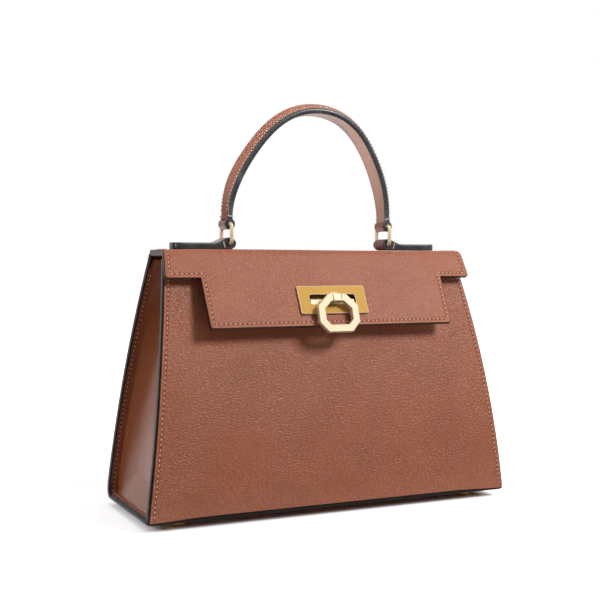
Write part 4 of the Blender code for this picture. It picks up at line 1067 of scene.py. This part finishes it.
def stitch_template():
    """One stitch along X: a round section whose radius is a half ellipse along its length and
    whose ends dip in, with closed poles."""
    along = np.sin(np.radians([-62, -25, 25, 62]))[:, None]
    turn = np.radians(np.arange(6) * 60 + 30)
    radius = np.sqrt(1 - along ** 2) ** 0.5
    rings = np.broadcast_arrays(along, radius * np.cos(turn), radius * np.sin(turn))
    points, blocks = swept(np.stack(rings, -1))
    return points, blocks, STITCH_DIP


def hole_template():
    """One hole left by the awl, as painted shade: a thin closed lens of six sides, which has no
    dip.
    """
    turn = np.radians(np.arange(6) * 60)
    rim = np.stack([np.cos(turn), np.sin(turn), 0 * turn], -1)
    points = np.concatenate([rim, [(0, 0, 0.25)], [(0, 0, -0.25)]])
    ring = np.arange(6)
    after = np.roll(ring, -1)
    up, low = (ring, after, np.full(6, 6)), (after, ring, np.full(6, 7))
    return points, [np.concatenate([np.stack(up, -1), np.stack(low, -1)])], 0.0


def add_repeated(name, template, places, scale, tilt, lift, finish, body):
    """One template at many places at once: its own axes turned to along, across and out."""
    points, blocks, depth = template
    centres, along, out = (np.concatenate(part) for part in zip(*places))
    ahead = along * math.cos(tilt) + np.cross(out, along) * math.sin(tilt)
    axes = np.stack([ahead, np.cross(out, ahead), out], 1)
    local = points * scale
    local[:, 2] += lift - depth * scale[2] * points[:, 0] ** 2
    many = centres[:, None] + np.einsum("pi,nij->npj", local, axes)
    shift = np.arange(len(centres))[:, None, None] * len(points)
    faces = [(block[None] + shift).reshape(-1, block.shape[1]) for block in blocks]
    uv = np.tile(points[:, :2], (len(centres), 1))
    return add_piece(
        name, many.reshape(-1, 3), faces, [finish], body, uv=uv, sharp=STITCH_SHARP,
    )


def flap_path(x, down):
    """Places and normals on the flap's front, from x and the way down it."""
    path = np.column_stack(np.broadcast_arrays(x, *slope_place(down).T))
    normal = (0.0, -math.cos(FLAP_LEAN), math.sin(FLAP_LEAN))
    return path, np.broadcast_to(normal, path.shape)


def seam_runs():
    """Every row of stitches as (body, path, normals)."""
    inset = bpy.context.scene.handbag_sizes.seam_inset
    z = np.linspace(FRONT_RIM - SEAM_TOP_GAP, PANEL_FOOT + SEAM_FOOT_GAP, 60)
    outer, _, down = flap_rows()
    over = (outer[:, 0] < BLEND_FRONT) & (down <= EAR_LENGTH - inset + 0.0002)
    ear = flap_widths(outer, down)[0][over] - inset
    over_line, over_normal = outer[over], -left_normals(outer)[over]
    tongue, low_tongue = TONGUE_HALF - inset, TONGUE_LOW_HALF - inset
    ear_down, foot_down = EAR_LENGTH - inset, FLAP_LENGTH - inset
    flange = gusset_outline(FLANGE_DEPTH + LEATHER)
    runs = []
    for side, _ in SIDES:
        wall = np.stack([side * (half_width(z) - inset - PANEL_SETBACK), -half_depth(z), z], 1)
        facing_out = np.stack([0 * z, -np.ones_like(z), wall_slope(z)], 1)
        runs.append(("shell", wall, facing_out))
        runs.append(("shell", wall * (1, -1, 1), facing_out * (1, -1, 1)))
        edge = np.column_stack([side * ear, over_line])
        runs.append(("flap", edge, np.column_stack([0 * ear, over_normal])))
        runs.append(("flap", *flap_path(side * np.linspace(ear[-1], tongue, 8), ear_down)))
        runs.append(("flap", *flap_path(
            side * np.linspace(tongue, low_tongue, 12), np.linspace(ear_down, foot_down, 12),
        )))
        x = side * (half_width(flange[:, 1]) - FLANGE_SEAM)
        path, normals = np.column_stack([x, flange]), np.column_stack([0 * x, left_normals(flange)])
        runs.append(("shell", path[2:-2], normals[2:-2]))
        rim = gusset_grid(side, True)[len(FLANGE_STEPS):, 0, :2]
        rim = np.concatenate([rim, rim[::-1] * (1, -1)])
        top = np.column_stack([rim, np.full(len(rim), GUSSET_RIM - inset)])
        runs.append(("shell", top, np.broadcast_to((side, 0.0, 0.0), top.shape)))
    runs.append(("flap", *flap_path(np.linspace(-low_tongue, low_tongue, 90), foot_down)))
    return runs


def handle_seams():
    """Rows of stitches on the handle: both margins of the dome and of the inner strip."""
    angle = np.linspace(HANDLE_SEAM_ENDS, math.pi - HANDLE_SEAM_ENDS, 160)
    places, out = handle_line(angle)
    half, crown = handle_width(angle)
    rise = HANDLE_EAVES + (crown - HANDLE_EAVES) * dome(1 - HANDLE_SEAM_INSET / half)
    runs = []
    for side, _ in SIDES:
        margin = places + np.column_stack([0 * angle, side * (half - HANDLE_SEAM_INSET), 0 * angle])
        runs.append((margin + out * rise[:, None], unit(out + (0, side * 0.3, 0))))
        runs.append((margin - out * HANDLE_EDGE, -out))
    return runs


def make_stitches():
    """All sewing: rows of stitches with a dark lens between each two, painted shade of the hole
    the awl left, and the few long stitches that wrap the tabs and the handle's ends."""
    sizes = bpy.context.scene.handbag_sizes
    pitch, width = sizes.stitch_pitch, sizes.stitch_width
    stitch, hole = stitch_template(), hole_template()
    scale = np.array(STITCH_SHARES) * (pitch, width, width)
    hole_scale = np.array([*HOLE_SHARES, 1]) * (pitch, width, HOLE_HALF_DEPTH)
    runs = seam_runs()
    for body in ("shell", "flap"):
        seams = [(path, out) for owner, path, out in runs if owner == body]
        rows = [stitch_places(*seam, pitch) for seam in seams]
        add_repeated(
            "stitches_" + body, stitch, rows, scale, STITCH_TILT, STITCH_LIFT, "sewing thread",
            body,
        )
        holes = [stitch_places(*seam, pitch, pitch / 2) for seam in seams]
        add_repeated(
            "stitch_hole_shades_" + body, hole, holes, hole_scale, 0.0, HOLE_LIFT, "awl hole shade", body,
        )
    grip = [stitch_places(*seam, pitch * GRIP_PITCH) for seam in handle_seams()]
    add_repeated(
        "stitches_handle", stitch, grip[::2], scale * GRIP_SHARES, GRIP_TILT, GRIP_LIFT,
        "pale thread with painted sheen", "handle",
    )
    add_repeated(
        "stitches_handle_strip", stitch, grip[1::2], scale * STRIP_SHARES, GRIP_TILT, 0.0,
        "dark thread with painted shade", "handle",
    )
    make_wraps(stitch)


def make_wraps(stitch):
    """Long pale stitches over the painted edges at the handle's ends and on the tabs' necks."""
    ends, tabs = [], []
    for side, _ in SIDES:
        for fore in (-1, 1):
            out, mirror = np.array([[0.0, fore, 0.0]]), (side, fore, 1)
            ends.append((
                np.array([END_WRAP]) * mirror, np.array([[1.0, 0.0, END_WRAP_LEAN * side]]), out,
            ))
            tabs.append((
                np.array([TAB_WRAP]) * mirror, unit(np.array([[TAB_WRAP_LEAN * side, 0.0, 1.0]])),
                out,
            ))
    size = np.array(WRAP_SIZE)
    for name, places, shares, body in (
        ("handle", ends, (1, 1, 1), "handle"), ("tabs", tabs, TAB_WRAP_SHARES, "flap"),
    ):
        add_repeated(
            "wrap_stitches_" + name, stitch, places, size * shares, 0, GRIP_LIFT, "pale thread with painted sheen",
            body,
        )


class Recipe:
    """Nodes of one material or world, added and linked by socket name."""

    def __init__(self, owner):
        self.owner = owner
        owner.use_nodes = True
        self.tree = owner.node_tree
        self.tree.nodes.clear()

    def node(self, kind, inputs=None, **settings):
        """A new node; each input takes a value or a link from another node's output."""
        made = self.tree.nodes.new("ShaderNode" + kind)
        for key, value in settings.items():
            setattr(made, key, value)
        for key, value in (inputs or {}).items():
            if isinstance(value, bpy.types.NodeSocket):
                self.tree.links.new(value, made.inputs[key])
            else:
                made.inputs[key].default_value = value
        return made

    def maths(self, operation, first, second=0.0, third=0.0):
        """One sum on numbers."""
        made = self.node("Math", {0: first, 1: second, 2: third}, operation=operation)
        return made.outputs[0]

    def vector(self, operation, *inputs):
        """One sum on vectors."""
        return self.node("VectorMath", dict(enumerate(inputs)), operation=operation).outputs

    def ranged(self, value, low, high, start=0.0, end=1.0):
        """An S-curve from start to end while a value goes from low to high."""
        made = self.node("MapRange", {
            "Value": value, "From Min": low, "From Max": high, "To Min": start, "To Max": end,
        }, interpolation_type="SMOOTHSTEP")
        return made.outputs[0]

    def mixed(self, factor, first, second, blend="MIX"):
        """Two colours, mixed by a factor."""
        inputs = {"Fac": factor, "Color1": first, "Color2": second}
        return self.node("MixRGB", inputs, blend_type=blend).outputs[0]

    def noise(self, vector, scale, detail=2.0, roughness=0.5):
        """Soft noise, as a node with Fac and Color."""
        return self.node("TexNoise", {
            "Vector": vector, "Scale": scale, "Detail": detail, "Roughness": roughness,
        })

    def coordinates(self, kind="Object"):
        """One output of the texture coordinates."""
        return self.node("TexCoord").outputs[kind]

    def bump(self, height, strength=0.5, distance=0.0001):
        """The normal of a surface with this height."""
        inputs = {"Strength": strength, "Distance": distance, "Height": height}
        return self.node("Bump", inputs).outputs[0]

    def seen(self):
        """One for rays from the camera, from gloss or through glass, and zero for the rest."""
        path = self.node("LightPath").outputs
        seen = self.maths("MAXIMUM", path["Is Camera Ray"], path["Is Glossy Ray"])
        return self.maths("MAXIMUM", seen, path["Is Transmission Ray"])

    def finish(self, **inputs):
        """End in a Principled shader with these sockets, named with _ for a space."""
        sockets = {key.replace("_", " "): value for key, value in inputs.items()}
        self.surface(self.node("BsdfPrincipled", sockets))

    def surface(self, shader, kind="Material"):
        """Make a shader the output's surface."""
        self.node("Output" + kind, {"Surface": shader.outputs[0]})


def new_recipe(name):
    """The recipe of a new material."""
    return Recipe(bpy.data.materials.new(name))


def tinted(colour, share):
    """A colour made darker or paler, with full alpha."""
    return (*(channel * share for channel in colour), 1.0)


def leather_finish(name, colour, grain, relief, rough, coords="Object", seamed=False, sheen=0.42):
    """Grained leather: small pebbles under long creases that slant one way or the other.

    Creases are deeper, and darker as painted shade. On a seamed piece the distance to the cut
    edge darkens the leather next to the paint, lightens a band up to 1.7 mm in from it as a
    painted highlight of the rounded edge, and sinks a groove along the stitches, darkened as
    painted shade.
    """
    recipe = new_recipe(name)
    source = recipe.coordinates(coords)
    warp = recipe.noise(source, 240.0, 2.0).outputs["Color"]
    bent = recipe.vector("MULTIPLY_ADD", warp, (grain,) * 3, source)[0]
    cells = recipe.node("TexVoronoi", {
        "Vector": bent, "Scale": 1.3 / grain,
    }, feature="DISTANCE_TO_EDGE").outputs["Distance"]
    pebble = recipe.ranged(cells, 0.0, 0.30)
    slants = []
    for turn in (0.44, -0.50):
        along = recipe.node("Mapping", {
            "Vector": bent, "Scale": (2.6, 1.0, 1.0), "Rotation": (0.0, 0.0, turn),
        }, vector_type="TEXTURE").outputs[0]
        lines = recipe.node("TexVoronoi", {
            "Vector": along, "Scale": 1.0 / grain, "Randomness": 0.85,
        }, feature="DISTANCE_TO_EDGE").outputs["Distance"]
        slants.append(recipe.ranged(lines, 0.0, 0.32))
    patch = recipe.ranged(recipe.noise(source, 15.0, 1.0).outputs["Fac"], 0.42, 0.58)
    other = recipe.maths("SUBTRACT", slants[1], slants[0])
    crease = recipe.maths("MULTIPLY_ADD", patch, other, slants[0])
    pores = recipe.noise(source, 2600.0, 2.0).outputs["Fac"]
    height = recipe.maths("MULTIPLY_ADD", pebble, 0.30, recipe.maths("MULTIPLY", crease, 0.66))
    height = recipe.maths("MULTIPLY_ADD", pores, 0.08, height)
    # Low parts of the grain come out darker than the pebbles' tops: painted shade in the creases.
    shade = recipe.maths("MULTIPLY_ADD", height, 0.34, 0.76)
    mottle = recipe.noise(source, 26.0, 3.0).outputs["Fac"]
    shade = recipe.maths("MULTIPLY", shade, recipe.ranged(mottle, 0.25, 0.75, 0.94, 1.06))
    if seamed:
        seam = recipe.node("Attribute", attribute_name="seam").outputs["Fac"]
        shade = recipe.maths("MULTIPLY", shade, recipe.ranged(seam, 0.0001, 0.0006, 0.5, 1.0))
        # Within 1.7 mm of the cut edge the leather is lightened: a painted highlight along the
        # rounded edge.
        shade = recipe.maths("MULTIPLY", shade, recipe.ranged(seam, 0.0010, 0.0017, 1.16, 1.0))
        groove = recipe.maths(
            "MULTIPLY", recipe.ranged(seam, 0.0017, 0.0026),
            recipe.ranged(seam, 0.0028, 0.0039, 1.0, 0.0),
        )
        # The groove is darkened as well as sunk: painted shade in the groove.
        shade = recipe.maths("MULTIPLY_ADD", groove, -0.10, shade)
        height = recipe.maths("MULTIPLY_ADD", groove, -1.3, height)
    grey = recipe.node("CombineColor", {"Red": shade, "Green": shade, "Blue": shade}).outputs[0]
    base = recipe.mixed(1.0, (*colour, 1.0), grey, "MULTIPLY")
    bump = recipe.bump(height, 0.9, relief)
    gloss = recipe.ranged(height, 0.2, 1.0, rough + 0.08, rough)
    recipe.finish(
        Base_Color=base, Roughness=gloss, Normal=bump, Specular_IOR_Level=sheen,
    )


def paint_finish(name, colour, sheen):
    """Edge paint: dark, half-gloss and slightly uneven, paler where it is rubbed."""
    recipe = new_recipe(name)
    source = recipe.coordinates()
    uneven = recipe.noise(source, 420.0, 3.0).outputs["Fac"]
    rubbed = recipe.ranged(recipe.noise(source, 90.0, 4.0).outputs["Fac"], 0.5, 0.75)
    base = recipe.mixed(rubbed, (*colour, 1.0), tinted(colour, 2.0))
    bump = recipe.bump(uneven)
    gloss = recipe.ranged(uneven, 0.3, 0.7, 0.26, 0.38)
    recipe.finish(
        Base_Color=base, Roughness=gloss, Normal=bump, Specular_IOR_Level=sheen,
    )


def thread_finish(name, colour):
    """Waxed thread: twisted strands along its own length."""
    recipe = new_recipe(name)
    source = recipe.coordinates("UV")
    turned = recipe.node("Mapping", {"Vector": source, "Rotation": (0.0, 0.0, 0.6)}).outputs[0]
    strands = recipe.node("TexWave", {"Vector": turned, "Scale": 2.2}).outputs["Fac"]
    base = recipe.mixed(strands, tinted(colour, 0.75), (*colour, 1.0))
    bump = recipe.bump(strands, 0.4)
    recipe.finish(Base_Color=base, Roughness=0.55, Normal=bump)


def metal_finish(name, colour, rough, brushed):
    """Plated metal: a fine brushed or polished skin with faint changes in gloss."""
    recipe = new_recipe(name)
    source = recipe.coordinates()
    long = recipe.node("Mapping", {"Vector": source, "Scale": (60.0, 1600.0, 1600.0)}).outputs[0]
    lines = recipe.noise(long, 1.0, 3.0).outputs["Fac"]
    cloud = recipe.noise(source, 160.0, 3.0).outputs["Fac"]
    base = recipe.mixed(recipe.ranged(cloud, 0.3, 0.7), tinted(colour, 0.93), (*colour, 1.0))
    gloss = recipe.maths("MULTIPLY_ADD", cloud, 0.08, rough - 0.04)
    bump = recipe.bump(lines, brushed, 0.00002)
    recipe.finish(Base_Color=base, Metallic=1.0, Roughness=gloss, Normal=bump)


def soft_finish(name, colour, scale, rough):
    """Napped lining, board, or the painted shade of the holes an awl leaves: fine fibres and a soft
    mottle.
    """
    recipe = new_recipe(name)
    source = recipe.coordinates()
    fibres = recipe.noise(source, scale, 4.0, 0.7).outputs["Fac"]
    cloud = recipe.noise(source, 35.0, 3.0).outputs["Fac"]
    nap = recipe.ranged(fibres, 0.3, 0.7, 0.0, 0.6)
    shade = recipe.maths("ADD", nap, recipe.ranged(cloud, 0.3, 0.7, 0.0, 0.4))
    base = recipe.mixed(shade, tinted(colour, 0.8), (*colour, 1.0))
    bump = recipe.bump(fibres)
    recipe.finish(Base_Color=base, Roughness=rough, Normal=bump)


NODE_FINISHES = {
    "lining leather": (
        "front_lining", "back_lining", "base_lining", "inner_pocket", "left_gusset_lining",
        "right_gusset_lining", "flap_lining",
    ),
    "bag board": ("front_board", "back_board", "base_board", "flap_board", "handle_core"),
    "satin gold": (
        "lock_housing", "clasp_plate", "plate_rivet_left", "plate_rivet_right",
        "foot_front_left", "foot_front_right", "foot_back_left", "foot_back_right",
    ),
    "pale gold": ("lock_bar", "knuckle", "clasp_ring", "clasp_pin", "ring_left", "ring_right"),
    "plated steel": (
        "lock_backing", "lock_screw_left", "lock_screw_right", "foot_washer_front_left",
        "foot_washer_front_right", "foot_washer_back_left", "foot_washer_back_right",
    ),
    "grained leather": (
        "front_panel", "back_panel", "base_panel", "left_gusset", "right_gusset", "flap_leather",
        "tab_left", "tab_right", "handle_cover", "handle_strip", "handle_loop_left",
        "handle_loop_right",
    ),
}


def make_finishes():
    """Every material, and the finish of the solids that stay as they are."""
    sizes, colours = bpy.context.scene.handbag_sizes, bpy.context.scene.handbag_colours
    tan = tuple(colours.leather)
    # The handle's inner strip takes a paler copy of the tan leather: painted light standing in for
    # bounce light from below.
    strip, coarse, fine = (0.46, 0.205, 0.125), sizes.grain, sizes.grain * 0.8
    leather_finish("grained leather", tan, coarse, 0.00026, 0.45, "UV", True, 0.62)
    leather_finish("front leather", tan, coarse, 0.00032, 0.35, "UV", True, 0.55)
    leather_finish("handle leather", tan, fine, 0.00005, 0.40, "UV", sheen=1.0)
    leather_finish("smooth leather", tan, fine, 0.00003, 0.20, sheen=0.3)
    leather_finish("handle strip with painted light", strip, fine, 0.00004, 0.32, sheen=1.0)
    paint_finish("edge paint", tuple(colours.edge_paint), 0.08)
    paint_finish("flap edge paint", (0.045, 0.024, 0.018), 0.10)
    # A paler, glossier copy of the edge paint for the handle, its loops and the tabs: painted
    # reflection of pale surroundings in front.
    paint_finish("handle edge paint with painted reflection", (0.036, 0.037, 0.041), 0.5)
    thread_finish("sewing thread", tuple(colours.thread))
    # A paler, greyer copy of the thread for the handle and the wraps: painted sheen of grazing
    # light.
    thread_finish("pale thread with painted sheen", (0.72, 0.60, 0.50))
    # A dark copy of the thread for the inner strip's stitches: painted shade of their holes.
    thread_finish("dark thread with painted shade", (0.16, 0.09, 0.06))
    metal_finish("satin gold", tuple(colours.satin), 0.74, 0.5)
    metal_finish("pale gold", tuple(colours.pale_gold), 0.70, 0.1)
    metal_finish("plated steel", (0.60, 0.58, 0.55), 0.32, 0.4)
    soft_finish("lining leather", tuple(colours.lining), 1800.0, 0.85)
    soft_finish("bag board", (0.45, 0.38, 0.28), 900.0, 0.9)
    # The holes between the stitches are dark lenses laid on the leather: painted shade.
    soft_finish("awl hole shade", (0.105, 0.036, 0.020), 1500.0, 0.9)
    for finish, names in NODE_FINISHES.items():
        for name in names:
            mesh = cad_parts[name].data
            mesh.materials.clear()
            mesh.materials.append(bpy.data.materials[finish])


def link(name, data):
    """A new object of these data, in the scene."""
    made = bpy.data.objects.new(name, data)
    bpy.context.scene.collection.objects.link(made)
    return made


def facing(right, back, place):
    """Matrix that turns an object's right-hand side and its back to two ways, at a place."""
    matrix = np.eye(4)
    matrix[:3] = np.stack([right, np.cross(back, right), back, place], 1)
    return Matrix(matrix.tolist())


def add_lamp(name, place, aim, size, power, spread, glossy):
    """A soft rectangular lamp at a place, turned towards a point."""
    lamp = bpy.data.lights.new(name, "AREA")
    lamp.shape = "RECTANGLE"
    lamp.size, lamp.size_y = size
    lamp.energy, lamp.spread = power, math.radians(spread)
    holder = link(name, lamp)
    back = unit(np.array(place, float) - np.array(aim, float))
    holder.matrix_world = facing(unit(np.cross((0.0, 0.999, 0.04), back)), back, place)
    holder.visible_glossy = glossy


def make_camera():
    """The photograph's pinhole camera, from its place, yaw and pitch."""
    sine, cosine = math.sin(CAMERA_YAW), math.cos(CAMERA_YAW)
    dip, level = math.sin(CAMERA_PITCH), math.cos(CAMERA_PITCH)
    camera = bpy.data.cameras.new("photo_camera")
    camera.lens, camera.sensor_width, camera.sensor_fit = CAMERA_LENS, CAMERA_SENSOR, "HORIZONTAL"
    camera.clip_start, camera.clip_end = 0.02, 50.0
    holder = link("photo_camera", camera)
    back = (-sine * level, -cosine * level, dip)
    holder.matrix_world = facing((cosine, -sine, 0.0), back, CAMERA_PLACE)
    bpy.context.scene.camera = holder


def add_sheet(name, points, material):
    """A plain gridded sheet for the stage."""
    mesh = bpy.data.meshes.new(name)
    faces = grid_faces(*points.shape[:2])
    mesh.from_pydata(points.reshape(-1, 3).tolist(), [], faces.tolist())
    mesh.materials.append(material)
    return link(name, mesh)


def make_floor():
    """A wide pale floor that glows white to the camera and keeps the bag's shadow; its glow fades
    out towards the bag's footprint as a painted contact shadow.
    """
    recipe = new_recipe("pale floor")
    seen = recipe.seen()
    source = recipe.coordinates()
    # The glow is nil over the bag's footprint and grows with the distance from it: a painted
    # contact shadow.
    beyond = recipe.vector("SUBTRACT", recipe.vector("ABSOLUTE", source)[0], FOOTPRINT)[0]
    outside = recipe.vector("MAXIMUM", beyond, (0.0, 0.0, 0.0))[0]
    apart = recipe.vector("LENGTH", outside)["Value"]
    near = recipe.ranged(apart, 0.0, 0.018, 0.0, 0.66)
    level = recipe.maths("ADD", near, recipe.ranged(apart, 0.05, 0.6, 0.0, 0.40))
    cloud = recipe.noise(source, 2.0).outputs["Fac"]
    base = recipe.mixed(cloud, (0.80, 0.80, 0.80, 1.0), (0.82, 0.82, 0.82, 1.0))
    diffuse = recipe.node("BsdfDiffuse", {"Color": base}).outputs[0]
    glow = recipe.node("Emission", {"Strength": recipe.maths("MULTIPLY", seen, level)}).outputs[0]
    recipe.surface(recipe.node("AddShader", {0: diffuse, 1: glow}))
    x, y = np.meshgrid(*[np.linspace(-FLOOR_REACH, FLOOR_REACH, 5)] * 2)
    floor = add_sheet("floor", np.stack([x, y, np.zeros_like(x)], -1), recipe.owner)


def make_world():
    """White to the camera, to mirrors and through glass, and a dimmer fill for everything else."""
    world = bpy.data.worlds.new("studio")
    bpy.context.scene.world = world
    recipe = Recipe(world)
    level = recipe.node("MapRange", {
        "Value": recipe.seen(), "To Min": WORLD_FILL, "To Max": 1.0,
    }).outputs[0]
    white = (1.0, 1.0, 1.0, 1.0)
    recipe.surface(recipe.node("Background", {"Color": white, "Strength": level}), "World")


def add_card(name, corners):
    """A studio card over four corners; only mirrors and gloss see it."""
    recipe = new_recipe(name)
    cloud = recipe.noise(recipe.coordinates(), 3.0).outputs["Fac"]
    tone = (CARD_TONE,) * 3
    base = recipe.mixed(cloud, (*tone, 1.0), tinted(tone, 1.1))
    recipe.surface(recipe.node("BsdfDiffuse", {"Color": base}))
    first, second, third, fourth = np.array(corners, float)
    u, v = (share[..., None] for share in np.meshgrid(np.linspace(0, 1, 5), np.linspace(0, 1, 4)))
    points = (1 - v) * ((1 - u) * first + u * second) + v * ((1 - u) * fourth + u * third)
    card = add_sheet(name, points, recipe.owner)
    card.visible_camera = card.visible_diffuse = card.visible_shadow = False


def make_stage():
    """Camera, floor, white room, lamps and dark cards."""
    make_camera()
    make_floor()
    make_world()
    for lamp in LAMPS:
        add_lamp(*lamp)
    for card in CARDS:
        add_card(*card)
    bpy.context.scene.view_settings.view_transform = "Standard"


class HANDBAG_OT_finishes(bpy.types.Operator):
    """Make every material, and dress the solids that stay as they are."""

    bl_idname = "handbag.finishes"
    bl_label = "Finishes"

    def execute(self, context):
        make_finishes()
        return {"FINISHED"}


class HANDBAG_OT_front_panel(bpy.types.Operator):
    """Make the front wall's leather."""

    bl_idname = "handbag.front_panel"
    bl_label = "Front panel"

    def execute(self, context):
        make_front_panel()
        return {"FINISHED"}


class HANDBAG_OT_flap(bpy.types.Operator):
    """Make the back wall and the flap as one leather."""

    bl_idname = "handbag.flap"
    bl_label = "Flap and back"

    def execute(self, context):
        make_flap()
        return {"FINISHED"}


class HANDBAG_OT_gussets(bpy.types.Operator):
    """Make both folded side walls and their linings."""

    bl_idname = "handbag.gussets"
    bl_label = "Gussets"

    def execute(self, context):
        make_gussets()
        return {"FINISHED"}


class HANDBAG_OT_edges(bpy.types.Operator):
    """Make the painted edges of the body."""

    bl_idname = "handbag.edges"
    bl_label = "Painted edges"

    def execute(self, context):
        make_edges()
        return {"FINISHED"}


class HANDBAG_OT_base(bpy.types.Operator):
    """Make the base leather and its four turned feet."""

    bl_idname = "handbag.base"
    bl_label = "Base and feet"

    def execute(self, context):
        make_base()
        return {"FINISHED"}


class HANDBAG_OT_clasp(bpy.types.Operator):
    """Make the slotted plate, the knuckle and the hanging ring."""

    bl_idname = "handbag.clasp"
    bl_label = "Clasp"

    def execute(self, context):
        make_clasp()
        return {"FINISHED"}


class HANDBAG_OT_wire_rings(bpy.types.Operator):
    """Make the two bent wires that carry the handle."""

    bl_idname = "handbag.wire_rings"
    bl_label = "Wire rings"

    def execute(self, context):
        make_wire_rings()
        return {"FINISHED"}


class HANDBAG_OT_tabs(bpy.types.Operator):
    """Make the two folded leather tabs on the flap."""

    bl_idname = "handbag.tabs"
    bl_label = "Tabs"

    def execute(self, context):
        make_tabs()
        return {"FINISHED"}


class HANDBAG_OT_handle(bpy.types.Operator):
    """Make the arched grip and the leather loops at its ends."""

    bl_idname = "handbag.handle"
    bl_label = "Handle"

    def execute(self, context):
        make_handle()
        return {"FINISHED"}


class HANDBAG_OT_stitches(bpy.types.Operator):
    """Sew every seam and wrap the handle's ends and the tabs."""

    bl_idname = "handbag.stitches"
    bl_label = "Stitches"

    def execute(self, context):
        make_stitches()
        return {"FINISHED"}


class HANDBAG_OT_stage(bpy.types.Operator):
    """Set up the camera, the pale floor, the white room and the soft lamps."""

    bl_idname = "handbag.stage"
    bl_label = "Stage"

    def execute(self, context):
        make_stage()
        return {"FINISHED"}


OPERATORS = (
    HANDBAG_OT_finishes,
    HANDBAG_OT_front_panel,
    HANDBAG_OT_flap,
    HANDBAG_OT_gussets,
    HANDBAG_OT_edges,
    HANDBAG_OT_base,
    HANDBAG_OT_clasp,
    HANDBAG_OT_wire_rings,
    HANDBAG_OT_tabs,
    HANDBAG_OT_handle,
    HANDBAG_OT_stitches,
    HANDBAG_OT_stage,
)


class HANDBAG_PT_pieces(bpy.types.Panel):
    """Sizes, colours and pieces of the handbag."""

    bl_label = "Handbag"
    bl_idname = "HANDBAG_PT_pieces"
    bl_space_type = "VIEW_3D"
    bl_region_type = "UI"
    bl_category = "Handbag"

    def draw(self, context):
        for group in (context.scene.handbag_sizes, context.scene.handbag_colours):
            for key in group.bl_rna.properties.keys():
                if key not in ("rna_type", "name"):
                    self.layout.prop(group, key)
        for operator in OPERATORS:
            self.layout.operator(operator.bl_idname)


CLASSES = (HandbagSizes, HandbagColours, *OPERATORS, HANDBAG_PT_pieces)


def register():
    """Make the classes and the scene's two groups of properties known to Blender."""
    for item in CLASSES:
        bpy.utils.register_class(item)
    bpy.types.Scene.handbag_sizes = PointerProperty(type=HandbagSizes)
    bpy.types.Scene.handbag_colours = PointerProperty(type=HandbagColours)


def unregister():
    """Take back what register did."""
    del bpy.types.Scene.handbag_colours
    del bpy.types.Scene.handbag_sizes
    for item in reversed(CLASSES):
        bpy.utils.unregister_class(item)


def main():
    """Make every piece in order."""
    register()
    bpy.ops.handbag.finishes()
    bpy.ops.handbag.front_panel()
    bpy.ops.handbag.flap()
    bpy.ops.handbag.gussets()
    bpy.ops.handbag.edges()
    bpy.ops.handbag.base()
    bpy.ops.handbag.clasp()
    bpy.ops.handbag.wire_rings()
    bpy.ops.handbag.tabs()
    bpy.ops.handbag.handle()
    bpy.ops.handbag.stitches()
    bpy.ops.handbag.stage()


if __name__ == "__main__":
    main()
